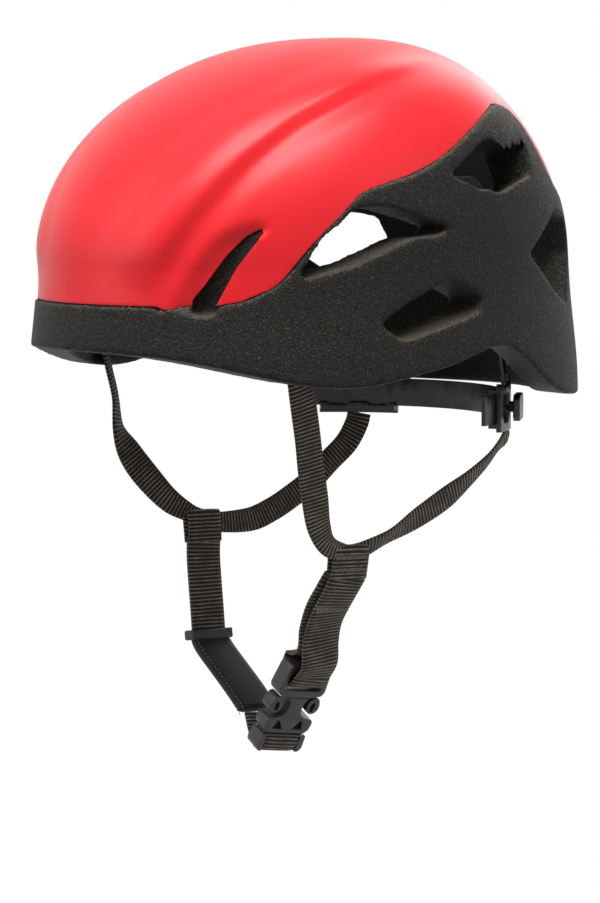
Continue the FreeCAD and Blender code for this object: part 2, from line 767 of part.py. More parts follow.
def make_nape_belt():
    body = new_body("nape_belt")
    inner, outer = size("belt_radius"), size("belt_radius") + size("belt_wall")
    half = size("belt_tall") / 2
    strip = new_sketch(body, "XZ_Plane", "belt_section")
    add_loop(strip, [(inner, -half), (outer, -half), (outer, half), (inner, half)])
    revolve(body, strip, "2 * sizes.belt_half_angle")
    doc.recompute()

    pitch = math.degrees(size("tooth_pitch") / outer)
    tooth = new_sketch(body, "XZ_Plane", "tooth_section")
    low = outer - size("tooth_depth")
    add_loop(tooth, [(low, -half * 0.6), (outer + 1.0, -half * 0.6), (outer + 1.0, half * 0.6),
                     (low, half * 0.6)])
    groove = body.newObject("PartDesign::Groove", "tooth_groove")
    groove.Profile = tooth
    axis = [item for item in body.Origin.OriginFeatures if item.Role == "Z_Axis"][0]
    groove.ReferenceAxis = (axis, [""])
    groove.Angle = pitch * 0.55
    doc.recompute()
    half_row = size("guide_angle") - math.degrees(size("guide_half_length") / outer) - 2.0
    count = 1 + 2 * int(half_row / pitch)
    row = body.newObject("PartDesign::PolarPattern", "tooth_row")
    row.Originals = [groove]
    row.Axis = (axis, [""])
    row.Mode = "Extent"
    row.Angle = (count - 1) * pitch
    row.Occurrences = count
    body.Tip = row
    row_start = (count - 1) * pitch / 2
    tooth.AttachmentOffset = Placement(Vector(), Rotation(Vector(0, 1, 0), row_start))
    keep("nape_belt", body, cradle_place(0.0))


def make_guide(side, sign):
    """Windowed guide that wraps the belt above and below and slides along it."""
    body = new_body("guide_" + side)
    inner = size("belt_radius")
    face = inner + size("belt_wall") + GAP
    back = face + size("guide_wall")
    half = size("guide_tall") / 2
    shelf = size("belt_tall") / 2 + GAP
    lip = shelf + 2.0
    hook = inner - GAP
    section = new_sketch(body, "XZ_Plane", "guide_section_" + side)
    add_loop(section, [(face, -shelf), (face, shelf), (hook, shelf), (hook, shelf - 1.6),
                       (hook - 1.4, shelf - 1.6), (hook - 1.4, lip), (face, lip), (face, half),
                       (back, half), (back, -half), (face, -half), (face, -lip),
                       (hook - 1.4, -lip), (hook - 1.4, -shelf + 1.6), (hook, -shelf + 1.6),
                       (hook, -shelf)])
    revolve(body, section, "2 * sizes.guide_half_length / (sizes.belt_radius + sizes.belt_wall)"
                           " * 180 / pi")
    doc.recompute()
    length = size("guide_half_length")
    stem = size("stem_width") / 2 + GAP
    cut = new_sketch(body, "YZ_Plane", "guide_windows_" + side, 0.5 * inner)
    add_loop(cut, [(-stem, -stem), (stem, -stem), (stem, stem), (-stem, stem)])
    near, far = stem + 2.4, length - 3.0
    low, high = 1.2, shelf - 0.4
    for a in (-1, 1):
        for b in (-1, 1):
            add_loop(cut, [(a * near, b * low), (a * far, b * low), (a * (far - 2.0), b * high),
                           (a * near, b * high)])
    hole = pocket(body, cut, None, midplane=False)
    hole.Reversed = True
    doc.recompute()
    keep("guide_" + side, body, cradle_place(sign * size("guide_angle")))


def make_grip(side, sign):
    """Push pad on a square stem that frees the belt's teeth."""
    body = new_body("grip_" + side)
    plate_back = size("belt_radius") + size("belt_wall") + GAP + size("guide_wall")
    pad_face = plate_back + size("grip_stroke") + 0.7
    a, b = size("grip_length") / 2, size("grip_tall") / 2
    c = 0.35 * b
    outline = new_sketch(body, "YZ_Plane", "grip_pad_" + side, pad_face)
    add_loop(outline, [(-a + c, -b), (a - c, -b), (a, -b + c), (a, b - c), (a - c, b),
                       (-a + c, b), (-a, b - c), (-a, -b + c)])
    pad(body, outline, "sizes.grip_wall", midplane=False)
    doc.recompute()
    s = size("stem_width") / 2
    stem_face = size("belt_radius") + size("belt_wall") + GAP + size("grip_stroke")
    stem = new_sketch(body, "YZ_Plane", "grip_stem_" + side, stem_face)
    add_loop(stem, [(-s, -s), (s, -s), (s, s), (-s, s)])
    shaft = body.newObject("PartDesign::Pad", "grip_shaft_" + side)
    shaft.Profile = stem
    shaft.Length = pad_face - stem_face
    doc.recompute()
    keep("grip_" + side, body, cradle_place(sign * size("guide_angle")))


def make_hanger(side, sign):
    """Forked strap from the liner's pivot down to the guide."""
    wall, arm = size("hanger_wall"), size("hanger_arm")
    eye_at = Vector(size("pivot_side"), size("pivot_back"), size("pivot_level"))
    eye = Part.makeCylinder(size("hanger_eye"), wall, eye_at - Vector(wall / 2, 0, 0),
                            Vector(1, 0, 0))
    radius = size("belt_radius") + size("belt_wall") + GAP + size("guide_wall") / 2
    level = size("belt_level") + size("guide_tall") / 2 + GAP
    fork = eye
    for spread in (-8.5, 8.5):
        angle = math.radians(size("guide_angle") + spread)
        out = Vector(math.sin(angle), math.cos(angle), 0)
        foot = Vector(0, size("belt_centre"), level) + out * radius
        crook = foot + Vector(0, 0, 5.0)
        top = eye_at + Vector(0, (foot.y - eye_at.y) * 0.1, -size("hanger_eye") * 0.7)
        strip = ribbon([foot, crook, top], [out, out, Vector(1, 0, 0)], arm, wall)
        fork = fork.fuse(strip)
    hole = Part.makeCylinder(size("pivot_radius") + GAP, 4 * wall,
                             eye_at - Vector(2 * wall, 0, 0), Vector(1, 0, 0))
    keep("hanger_" + side, mirrored(fork.cut(hole), sign))


def make_pivot(side, sign):
    """Headed pin set in the liner, with a collar that keeps the hanger off the foam."""
    wall = size("hanger_wall")
    start = size("pivot_side") - wall / 2 - GAP
    collar_start = size("pivot_side") + wall / 2 + GAP
    back, level = size("pivot_back"), size("pivot_level")
    pin = Part.makeCylinder(size("pivot_radius"), PIN_END - start, Vector(start, back, level),
                            Vector(1, 0, 0))
    head = Part.makeCylinder(size("pivot_radius") * 1.8, wall, Vector(start - wall, back, level),
                             Vector(1, 0, 0))
    collar = Part.makeCylinder(COLLAR_RADIUS, COLLAR_END - collar_start,
                               Vector(collar_start, back, level), Vector(1, 0, 0))
    keep("pivot_pin_" + side, mirrored(pin.fuse(head).fuse(collar), sign))


# ---------------------------------------------------------------- buckle
# local frame: X across, Y out of the face, Z from the socket's webbing end to the plug's

def buckle_place():
    return aim(BUCKLE_START, BUCKLE_AXIS, (0, -1, 0))


def make_socket():
    body = new_body("buckle_socket")
    half = size("buckle_width") / 2
    long = size("socket_length")
    waist = half - 3.2
    outline = new_sketch(body, "XZ_Plane", "socket_outline")
    add_loop(outline, [(-waist, 0), (waist, 0), (waist, 0.25 * long), (half - 1, 0.4 * long),
                       (half - 1, 0.85 * long), (half, long), (-half, long),
                       (-half + 1, 0.85 * long), (-half + 1, 0.4 * long), (-waist, 0.25 * long)])
    pad(body, outline, "sizes.buckle_wall")
    doc.recompute()
    skin = size("buckle_skin")
    room = new_sketch(body, "XZ_Plane", "socket_room")
    inner = half - 1 - skin
    add_loop(room, [(-inner, 0.36 * long), (inner, 0.36 * long), (inner, long + 1),
                    (-inner, long + 1)])
    pocket(body, room, "sizes.buckle_wall - 2 * sizes.buckle_skin")
    doc.recompute()
    doors = new_sketch(body, "XZ_Plane", "socket_doors")
    low, high = long - size("prong_length"), long - 6.0
    for sign in (-1, 1):
        add_loop(doors, [(sign * (inner - 0.5), low), (sign * (half + 1), low),
                         (sign * (half + 1), high), (sign * (inner - 0.5), high)])
    pocket(body, doors, "sizes.buckle_wall - 2 * sizes.buckle_skin")
    doc.recompute()
    cuts = new_sketch(body, "XZ_Plane", "socket_slot")
    bar = size("bar_wall")
    add_loop(cuts, [(-waist + 2.2, bar), (waist - 2.2, bar), (waist - 2.2, bar + 2.6),
                    (-waist + 2.2, bar + 2.6)])
    tip = 0.48 * long
    for sign in (-1, 1):
        add_loop(cuts, [(sign * 2.2, tip), (sign * (inner - 3.4), tip + 1.5),
                        (sign * 2.2, tip + 8.0)])
    pocket(body, cuts, None)
    doc.recompute()
    keep("buckle_socket", body, buckle_place())


def make_plug():
    body = new_body("buckle_plug")
    half = size("buckle_width") / 2
    base = size("socket_length") + GAP
    long = size("plug_length")
    outline = new_sketch(body, "XZ_Plane", "plug_outline")
    shoulder = half - 1.4
    add_loop(outline, [(-half, base), (half, base), (shoulder, base + 0.3 * long),
                       (half, base + long - 2), (half - 2, base + long),
                       (-half + 2, base + long), (-half, base + long - 2),
                       (-shoulder, base + 0.3 * long)])
    pad(body, outline, "sizes.buckle_wall")
    doc.recompute()
    key = new_sketch(body, "XZ_Plane", "plug_key")
    k = size("key_width") / 2
    low = 0.36 * size("socket_length") + 1.0
    add_loop(key, [(-k + 1, low), (k - 1, low), (k, low + 2), (k, base), (-k, base),
                   (-k, low + 2)])
    pad(body, key, "sizes.buckle_wall - 2 * sizes.buckle_skin - 2 * sizes.slide_gap")
    doc.recompute()
    slots = new_sketch(body, "XZ_Plane", "plug_slots")
    bar = size("bar_wall")
    a = size("chin_width") / 2 + GAP
    first = base + 0.32 * long
    for low in (first, first + 2.6 + bar):
        add_loop(slots, [(-a, low), (a, low), (a, low + 2.6), (-a, low + 2.6)])
    pocket(body, slots, None)
    doc.recompute()
    keep("buckle_plug", body, buckle_place())


def make_prong(name, sign):
    """Sprung side arm of the plug. Its head fills the socket's side window."""
    body = new_body(name)
    half = size("buckle_width") / 2
    long = size("socket_length")
    tip = long - size("prong_length") + size("prong_gap")
    catch = long - 6.0 - size("prong_gap")
    inner = half - 1 - size("buckle_skin") - size("prong_gap")
    wall = size("prong_wall")
    outline = new_sketch(body, "XZ_Plane", name + "_outline")
    add_loop(outline, [(sign * (inner - wall), long), (sign * inner, long),
                       (sign * inner, catch), (sign * (half - 0.6), catch),
                       (sign * half, catch - 3.0), (sign * (half - 0.8), tip + 1.6),
                       (sign * (inner - 0.8), tip), (sign * (inner - wall - 1.2), tip),
                       (sign * (inner - wall), tip + 3.0)])
    pad(body, outline, "sizes.buckle_wall - 2 * sizes.buckle_skin - 2 * sizes.slide_gap")
    doc.recompute()
    keep(name, body, buckle_place())


# ---------------------------------------------------------------- assembly

def build():
    zone = shell_zone()
    prism = core_prism()
    core_room = dome(1.0, 1.0, 1.0).cut(layer(size("shell_wall") + size("core_wall"))).common(prism)
    make_foam_liner(zone, core_room)
    make_outer_shell(zone)
    make_crown_core(prism)
    make_pads()
    make_pad_discs()
    for side, sign in SIDES:
        make_anchor(side, sign)
        make_side_webbing(side, sign)
        make_guide(side, sign)
        make_grip(side, sign)
        make_hanger(side, sign)
        make_pivot(side, sign)
    make_sleeve_and_tab()
    make_keeper()
    make_nape_belt()
    make_socket()
    make_plug()
    make_prong("prong_front", 1.0)
    make_prong("prong_rear", -1.0)
    doc.recompute()


def check():
    for item in doc.Objects:
        if "Invalid" in item.State or "Error" in item.State:
            raise RuntimeError("%s failed: %s" % (item.Label, item.State))
    for label, feature in nodes.items():
        if feature.Shape.isNull() or not feature.Shape.isValid():
            raise RuntimeError("%s has no valid shape" % label)


build()
check()
for label, feature in nodes.items():
    feature.Shape.exportStep("parts/%s.step" % label)
    print("%-20s solids %d volume %.0f" % (label, len(feature.Shape.Solids),
                                           feature.Shape.Volume))
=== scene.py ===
"""Climbing helmet: red crown shell on black beaded foam, webbing chin harness, sizing cradle."""
import math

import bmesh
import bpy
import numpy as np
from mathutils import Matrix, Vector
from mathutils.bvhtree import BVHTree


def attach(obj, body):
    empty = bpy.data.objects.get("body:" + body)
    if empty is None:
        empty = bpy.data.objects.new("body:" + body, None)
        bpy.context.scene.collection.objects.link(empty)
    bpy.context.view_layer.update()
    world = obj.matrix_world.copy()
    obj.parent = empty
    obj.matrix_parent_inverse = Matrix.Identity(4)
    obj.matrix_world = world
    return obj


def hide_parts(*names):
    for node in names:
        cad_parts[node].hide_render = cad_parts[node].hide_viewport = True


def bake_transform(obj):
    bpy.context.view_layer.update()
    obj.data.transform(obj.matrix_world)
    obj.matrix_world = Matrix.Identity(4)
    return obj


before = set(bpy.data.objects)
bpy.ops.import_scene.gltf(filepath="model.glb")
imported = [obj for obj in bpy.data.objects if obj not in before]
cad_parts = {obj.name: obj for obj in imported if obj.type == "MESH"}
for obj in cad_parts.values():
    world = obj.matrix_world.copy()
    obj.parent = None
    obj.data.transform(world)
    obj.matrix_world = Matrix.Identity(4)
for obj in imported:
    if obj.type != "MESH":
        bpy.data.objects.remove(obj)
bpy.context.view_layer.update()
MM = 0.001

# ------------------------------------------------------------------ shader tools


class Sock:
    """A shader output that takes arithmetic; every operator adds its Math node."""

    def __init__(self, tree, socket):
        self.tree, self.socket = tree, socket

    def math(self, operation, *others, clamp=False):
        node = self.tree.nodes.new("ShaderNodeMath")
        node.operation = operation
        node.use_clamp = clamp
        for place, value in zip(node.inputs, (self, *others)):
            plug(self.tree, place, value)
        return Sock(self.tree, node.outputs[0])

    def swapped(self, operation, other):
        node = self.tree.nodes.new("ShaderNodeMath")
        node.operation = operation
        plug(self.tree, node.inputs[0], other)
        plug(self.tree, node.inputs[1], self)
        return Sock(self.tree, node.outputs[0])

    def __add__(self, other):
        return self.math("ADD", other)

    def __sub__(self, other):
        return self.math("SUBTRACT", other)

    def __mul__(self, other):
        return self.math("MULTIPLY", other)

    def __truediv__(self, other):
        return self.math("DIVIDE", other)

    def __rsub__(self, other):
        return self.swapped("SUBTRACT", other)

    __radd__, __rmul__ = __add__, __mul__

    def ramp(self, low, high):
        """0 below low, 1 above high, and a straight climb between."""
        return ((self - low) / (high - low)).math("ADD", 0.0, clamp=True)

    def wave(self, pitch):
        """0 to 1 and back once in each pitch."""
        return (self * (2 * math.pi / pitch)).math("SINE") * 0.5 + 0.5


def plug(tree, place, value):
    """Link a Sock to a socket, or set the socket to a value; a colour is given its alpha."""
    if isinstance(value, Sock):
        tree.links.new(value.socket, place)
    elif isinstance(value, tuple) and len(value) == 3 and place.type == "RGBA":
        place.default_value = (*value, 1.0)
    else:
        place.default_value = value


class Finish:
    """One material: a Principled shader and the nodes that vary it."""

    def __init__(self, name, **constants):
        self.material = bpy.data.materials.new(name)
        self.material.use_nodes = True
        self.tree = self.material.node_tree
        self.tree.nodes.clear()
        self.out = self.tree.nodes.new("ShaderNodeOutputMaterial")
        self.shader = self.tree.nodes.new("ShaderNodeBsdfPrincipled")
        self.tree.links.new(self.shader.outputs[0], self.out.inputs[0])
        self.set(**constants)

    def set(self, **values):
        for key, value in values.items():
            plug(self.tree, self.shader.inputs[key.replace("_", " ")], value)

    def node(self, kind, settings=None, output=0, **values):
        node = self.tree.nodes.new("ShaderNode" + kind)
        for key, value in (settings or {}).items():
            setattr(node, key, value)
        for key, value in values.items():
            plug(self.tree, node.inputs[key.replace("_", " ")], value)
        return Sock(self.tree, node.outputs[output])

    def place(self):
        return self.node("TexCoord", output="Object")

    def normal(self):
        return self.node("TexCoord", output="Normal")

    def split(self, vector):
        node = self.tree.nodes.new("ShaderNodeSeparateXYZ")
        plug(self.tree, node.inputs[0], vector)
        return [Sock(self.tree, output) for output in node.outputs]

    def noise(self, scale, detail=2.0, rough=0.5):
        return self.node("TexNoise", Vector=self.place(), Scale=scale, Detail=detail,
                         Roughness=rough)

    def cells(self, scale, feature="F1"):
        return self.node("TexVoronoi", {"feature": feature}, "Distance", Scale=scale,
                         Vector=self.place())

    def mix(self, factor, first, second):
        """Mix two colours; the Mix node's colour sockets are inputs 6 and 7 and output 2."""
        node = self.tree.nodes.new("ShaderNodeMix")
        node.data_type = "RGBA"
        plug(self.tree, node.inputs[0], factor)
        plug(self.tree, node.inputs[6], first)
        plug(self.tree, node.inputs[7], second)
        return Sock(self.tree, node.outputs[2])

    def bump(self, height, strength, distance):
        return self.node("Bump", Height=height, Strength=strength, Distance=distance)

    def lengthwise(self):
        """Metres along and across a strap, from its own UV map."""
        return self.split(self.node("TexCoord", output="UV"))[:2]


def red_shell():
    finish = Finish("shell_red", Roughness=0.36, Specular_IOR_Level=0.32)
    cloud = finish.noise(9.0, 3.0)
    grain = finish.noise(1400.0, 2.0)
    scuff = finish.noise(60.0, 6.0, 0.7).ramp(0.55, 0.75)
    finish.set(Base_Color=finish.mix(cloud, (0.66, 0.006, 0.013), (0.76, 0.014, 0.02)),
               Roughness=0.34 + grain * 0.06 + scuff * 0.05,
               Normal=finish.bump(grain, 0.06, 0.0002))
    return finish.material


def foam_beads():
    """Moulded black beads with pressed bead edges. Painted light: fine bright glints as painted
    highlights, stronger on faces that point up; faces that point up painted lighter, and faces
    that point down painted paler and bluish as painted light from below.
    """
    finish = Finish("foam_black", Roughness=0.6, Specular_IOR_Level=0.16)
    bead = finish.cells(330.0, "DISTANCE_TO_EDGE")
    seam = 1.0 - bead.ramp(0.0, 0.09)
    speck = finish.noise(1500.0, 3.0, 0.75)
    pit = finish.noise(420.0, 2.0).ramp(0.68, 0.72)
    cloud = finish.noise(28.0, 3.0)
    # painted highlight: fine bright glints painted into the colour, as specks of sparkle
    painted_glint = speck.ramp(0.56, 0.72)
    low = finish.split(finish.normal())[2]
    # painted light from below: how far a face points down, for painting it paler and bluish
    painted_light_below = (low * -1.0).ramp(0.45, 0.85)
    upward = low.ramp(0.0, 0.75)
    body = finish.mix(cloud, (0.005, 0.0047, 0.0047), (0.010, 0.0092, 0.009))
    # painted light from above: faces that point up are painted a lighter tan grey
    body = finish.mix(low.ramp(0.4, 0.85) * 0.7, body, (0.07, 0.064, 0.052))
    # painted highlight: the glints painted in, stronger on faces that point up
    body = finish.mix(painted_glint * (upward * 0.6 + 0.4), body, (0.30, 0.26, 0.18))
    body = finish.mix(seam * 0.35, body, (0.003, 0.003, 0.003))
    # painted light from below: faces that point down painted paler and bluish
    body = finish.mix(painted_light_below * 0.7, body, (0.045, 0.047, 0.058))
    body = finish.mix(pit * 0.9, body, (0.0015, 0.0015, 0.0015))
    finish.set(Base_Color=body, Roughness=0.62 - painted_glint * 0.22 + pit * 0.2)
    dent = speck * 0.55 - seam * 0.5 - pit * 0.8
    finish.set(Normal=finish.bump(dent, 0.75, 0.0006))
    return finish.material


def core_foam():
    finish = Finish("foam_core", Roughness=0.7)
    bead = finish.cells(260.0, "DISTANCE_TO_EDGE").ramp(0.0, 0.1)
    finish.set(Base_Color=finish.mix(bead, (0.42, 0.42, 0.4), (0.62, 0.62, 0.6)),
               Normal=finish.bump(bead, 0.5, 0.0005))
    return finish.material


def ribbed_webbing():
    """Grosgrain: cross ribs whose tan crowns are partly the webbing's own colour and partly
    painted highlight, with near-black grooves between them as painted shade; darker
    selvedges, faint yarns.
    """
    finish = Finish("webbing_brown", Roughness=0.75, Specular_IOR_Level=0.3,
                    Sheen_Weight=0.15, Sheen_Roughness=0.5)
    along, across = finish.lengthwise()
    wander = finish.noise(90.0, 2.0) * 0.0006
    rib = (along + wander).wave(0.0019)
    crown = rib.ramp(0.5, 0.97)
    yarn = across.wave(0.0008)
    worn = finish.noise(160.0, 3.0).ramp(0.35, 0.7)
    # rib crowns: the webbing's own tan, varied by wear, lightened as painted highlight
    crown_colour_and_highlight = finish.mix(worn, (0.16, 0.125, 0.095), (0.40, 0.325, 0.23))
    # near black between the ribs as painted shade, tan on the crowns as painted highlight
    colour = finish.mix(crown, (0.0075, 0.0055, 0.0055), crown_colour_and_highlight)
    finish.set(Base_Color=colour, Roughness=0.85 - crown * 0.25,
               Normal=finish.bump(rib + yarn * 0.18, 0.8, 0.0005))
    return finish.material


def sleeve_knit():
    """Black fleece with soft shallow folds."""
    finish = Finish("sleeve_black", Roughness=0.7, Specular_IOR_Level=0.25,
                    Sheen_Weight=0.1, Sheen_Roughness=0.4)
    fleece = finish.noise(1100.0, 3.0, 0.7)
    fold = finish.noise(45.0, 2.0)
    finish.set(Base_Color=finish.mix(fleece, (0.006, 0.0055, 0.008), (0.016, 0.014, 0.019)),
               Normal=finish.bump(fleece * 0.3 + fold, 0.3, 0.0006))
    return finish.material


def pad_cloth():
    """Brushed loop cloth of the comfort pads."""
    finish = Finish("pad_cloth", Roughness=0.85, Sheen_Weight=0.35, Sheen_Roughness=0.45)
    loops = finish.cells(620.0)
    cloud = finish.noise(40.0, 2.0)
    finish.set(Base_Color=finish.mix(loops, (0.03, 0.031, 0.035), (0.012, 0.012, 0.014)),
               Normal=finish.bump(loops * -1.0 + cloud * 0.3, 0.6, 0.0005))
    return finish.material


def hook_tape():
    finish = Finish("hook_tape", Roughness=0.7)
    hooks = finish.cells(900.0)
    finish.set(Base_Color=finish.mix(hooks, (0.04, 0.04, 0.042), (0.01, 0.01, 0.01)),
               Normal=finish.bump(hooks, 0.8, 0.0004))
    return finish.material


def satin_plastic(name, dark, light, rough):
    """Moulded plastic: faint clouding, fine grain and rubbed high spots."""
    finish = Finish(name, Roughness=rough, Specular_IOR_Level=0.4)
    cloud = finish.noise(55.0, 3.0)
    grain = finish.noise(1900.0, 2.0)
    rub = finish.noise(240.0, 5.0, 0.7).ramp(0.58, 0.72)
    finish.set(Base_Color=finish.mix(cloud, dark, light),
               Roughness=rough + grain * 0.08 - rub * 0.08,
               Normal=finish.bump(grain, 0.12, 0.0002))
    return finish.material


def elastic_band():
    """Elastic with its cords running round the keeper."""
    finish = Finish("keeper_elastic", Roughness=0.6)
    cord = finish.split(finish.place())[2].wave(0.0011)
    finish.set(Base_Color=finish.mix(cord, (0.006, 0.006, 0.006), (0.02, 0.019, 0.019)),
               Normal=finish.bump(cord, 0.5, 0.0004))
    return finish.material


def thread():
    finish = Finish("thread_tan", Roughness=0.6, Sheen_Weight=0.3)
    twist = finish.noise(2600.0, 1.0)
    finish.set(Base_Color=finish.mix(twist, (0.11, 0.09, 0.065), (0.22, 0.185, 0.135)))
    return finish.material


RED = red_shell()
FOAM = foam_beads()
CORE = core_foam()
WEB = ribbed_webbing()
SLEEVE = sleeve_knit()
PAD = pad_cloth()
HOOK = hook_tape()
FRAME = satin_plastic("frame_black", (0.008, 0.008, 0.0085), (0.014, 0.0135, 0.014), 0.34)
BUCKLE = satin_plastic("buckle_grey", (0.034, 0.027, 0.030), (0.044, 0.036, 0.040), 0.38)
ELASTIC = elastic_band()
THREAD = thread()

# ------------------------------------------------------------------ mesh tools

SAME_POINT = 1e-6  # metres within which two vertices are one


def piece(name, verts, faces, material, smooth=True):
    mesh = bpy.data.meshes.new(name)
    mesh.from_pydata([tuple(v) for v in verts], [], [tuple(f) for f in faces])
    mesh.update()
    return as_piece(name, mesh, material, smooth)


def as_piece(name, mesh, material, smooth=True):
    return painted(linked(name, mesh), material, smooth)


def linked(name, data):
    """A new object of this data in the scene, at the origin."""
    thing = bpy.data.objects.new(name, data)
    bpy.context.scene.collection.objects.link(thing)
    return thing


def painted(thing, material, smooth=True):
    """Give a piece this material alone, and shade all its faces smooth or flat."""
    mesh = thing.data
    mesh.materials.clear()
    mesh.materials.append(material)
    mesh.polygons.foreach_set("use_smooth", [smooth] * len(mesh.polygons))
    return thing


def settle(thing):
    """Apply every modifier of a piece to its mesh."""
    depsgraph = bpy.context.evaluated_depsgraph_get()
    done = bpy.data.meshes.new_from_object(thing.evaluated_get(depsgraph))
    old = thing.data
    thing.modifiers.clear()
    thing.data = done
    bpy.data.meshes.remove(old)
    return thing


def modifier(thing, kind, **settings):
    made = thing.modifiers.new(kind.lower(), kind)
    for key, value in settings.items():
        setattr(made, key, value)
    return made


def bevelled(thing, width, degrees, segments=2, **settings):
    """Round the edges that turn by more than this many degrees; the width is in mm."""
    return modifier(thing, "BEVEL", width=width * MM, segments=segments, limit_method="ANGLE",
                    angle_limit=math.radians(degrees), **settings)


def outward(thing, merge=True):
    """Point the faces out. Doubles are merged first, unless a UV map has to stay."""
    work = bmesh.new()
    work.from_mesh(thing.data)
    if merge:
        bmesh.ops.remove_doubles(work, verts=work.verts, dist=SAME_POINT)
    bmesh.ops.recalc_face_normals(work, faces=work.faces)
    work.to_mesh(thing.data)
    work.free()
    return thing


def copy_of(node, name, material):
    """A merged copy of a CAD node's mesh, with its flat faces made whole again."""
    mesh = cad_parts[node].data.copy()
    mesh.transform(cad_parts[node].matrix_world)
    work = bmesh.new()
    work.from_mesh(mesh)
    bmesh.ops.remove_doubles(work, verts=work.verts, dist=SAME_POINT)
    bmesh.ops.dissolve_limit(work, angle_limit=math.radians(0.7), verts=work.verts,
                             edges=work.edges)
    work.to_mesh(mesh)
    work.free()
    return as_piece(name, mesh, material)


def moulded(node, body, material, slot, edge):
    """A CAD node with its edges rounded by this many mm, as a mould leaves them."""
    thing = copy_of(node, node + "_moulded", material)
    bevelled(thing, edge, 28, harden_normals=True)
    modifier(thing, "TRIANGULATE")
    settle(thing)
    dress(thing, body, slot, node)


def dress(thing, body, slot, *nodes):
    """Hide the CAD nodes that the piece stands for and hang it on its body; given a
    (body, body, start, end) in mm instead, bake its transform in place."""
    if nodes:
        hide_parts(*nodes)
    if isinstance(body, str):
        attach(thing, body)
    else:
        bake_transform(thing)


def positions(mesh):
    flat = np.empty(len(mesh.vertices) * 3)
    mesh.vertices.foreach_get("co", flat)
    return flat.reshape(-1, 3)


def move_to(mesh, points):
    mesh.vertices.foreach_set("co", points.ravel())
    mesh.update()


FINE = 24  # points of a spline between two of its given points, before it is cut evenly


def spline(points, step):
    """Smooth line through points (a Catmull-Rom curve), cut into even steps of about this
    length; columns after the third ride along."""
    points = np.array(points, float)
    padded = np.vstack([2 * points[0] - points[1], points, 2 * points[-1] - points[-2]])
    fine = []
    for a, b, c, d in zip(padded[:-3], padded[1:-2], padded[2:-1], padded[3:]):
        for t in np.linspace(0, 1, FINE, endpoint=False):
            fine.append(0.5 * (2 * b + (c - a) * t + (2 * a - 5 * b + 4 * c - d) * t ** 2
                               + (3 * b - a - 3 * c + d) * t ** 3))
    fine.append(points[-1])
    fine = np.array(fine)
    run = run_along(fine[:, :3])
    marks = np.linspace(0, run[-1], max(int(run[-1] / step), 2) + 1)
    return np.stack([np.interp(marks, run, fine[:, k]) for k in range(fine.shape[1])], 1)


def run_along(line):
    """Length of the line up to each of its points."""
    return np.concatenate([[0], np.cumsum(np.linalg.norm(np.diff(line, axis=0), axis=1))])


def unit(vectors):
    return vectors / np.linalg.norm(vectors, axis=-1, keepdims=True)


# a strap's section as (across in widths, out in half walls): thin selvedges, a slight crown
SECTION = [(-0.5, 0), (-0.5, 0.7), (-0.36, 1), (0, 1.08), (0.36, 1), (0.5, 0.7),
           (0.5, 0), (0.5, -0.7), (0.36, -1), (0, -1.08), (-0.36, -1), (-0.5, -0.7)]


def strap(name, route, wall, material, step=1.6):
    """Flat webbing through rows of point, facing and width in mm, with a UV map in metres."""
    rows = spline(route, step)
    line, out, widths = rows[:, :3] * MM, unit(rows[:, 3:6]), rows[:, 6] * MM
    tangent = unit(np.gradient(line, axis=0))
    across = unit(np.cross(tangent, out))
    normal = np.cross(across, tangent)
    edge = 0.5 * wall * MM
    verts, count = [], len(SECTION)
    for p, a, n, w in zip(line, across, normal, widths):
        for side, lift in SECTION:
            verts.append(p + a * side * w + n * lift * edge)
    faces = grid_faces(len(line), count)
    faces.append(tuple(range(count - 1, -1, -1)))
    faces.append(tuple((len(line) - 1) * count + k for k in range(count)))
    thing = piece(name, verts, faces, material)
    run = run_along(line)
    layer = thing.data.uv_layers.new(name="UVMap")
    for loop in thing.data.loops:
        row, spot = divmod(loop.vertex_index, count)
        layer.data[loop.index].uv = (run[row], SECTION[spot][0] * widths[row])
    return outward(thing, merge=False)


def grid_faces(rows, columns, first=0):
    """Quads of a tube whose rings of vertices follow each other from the first one on."""
    faces = []
    for r in range(rows - 1):
        for c in range(columns):
            c2 = (c + 1) % columns
            a, b = first + r * columns, first + (r + 1) * columns
            faces.append((a + c, a + c2, b + c2, b + c))
    return faces

# ------------------------------------------------------------------ dome and shell


# the dome in mm: its halves at the widest level, that level, the crown and its shift backwards
HALF_WIDTH, HALF_LENGTH, CROWN, WIDEST, SHIFT = 108.8, 136.4, 147.5, 40.3, 17.6
# how full its arch is on each side (2 is round), and how far the skirt flares
FRONT_FULL, SIDE_FULL, REAR_FULL, FLARE = 2.07, 2.69, 1.57, 0.027
MIDDLE = np.array([0.0, 8.0, 45.0])  # the middle of the head, from which relief stands out


def dome(turn, climb, level, grow):
    """Points of the helmet's dome in mm; climb below 0 means the skirt at this level."""
    side, back = np.cos(turn), np.sin(turn)
    a, b, top = HALF_WIDTH + grow, HALF_LENGTH + grow, CROWN + grow
    reach = ((side / a) ** 2 + (back / b) ** 2) ** -0.5
    full = (np.clip(-back, 0, 1) ** 2 * FRONT_FULL + np.clip(back, 0, 1) ** 2 * REAR_FULL
            + side ** 2 * SIDE_FULL)
    rise = np.clip(climb, 0, 1)
    spread = np.where(climb < 0, 1 + FLARE * (WIDEST - level) / WIDEST,
                      np.clip(1 - rise ** full, 0, 1) ** (1 / full))
    up = np.where(climb < 0, level, WIDEST + (top - WIDEST) * rise)
    return np.stack([reach * spread * side, reach * spread * back + SHIFT * rise ** 1.5, up], -1)


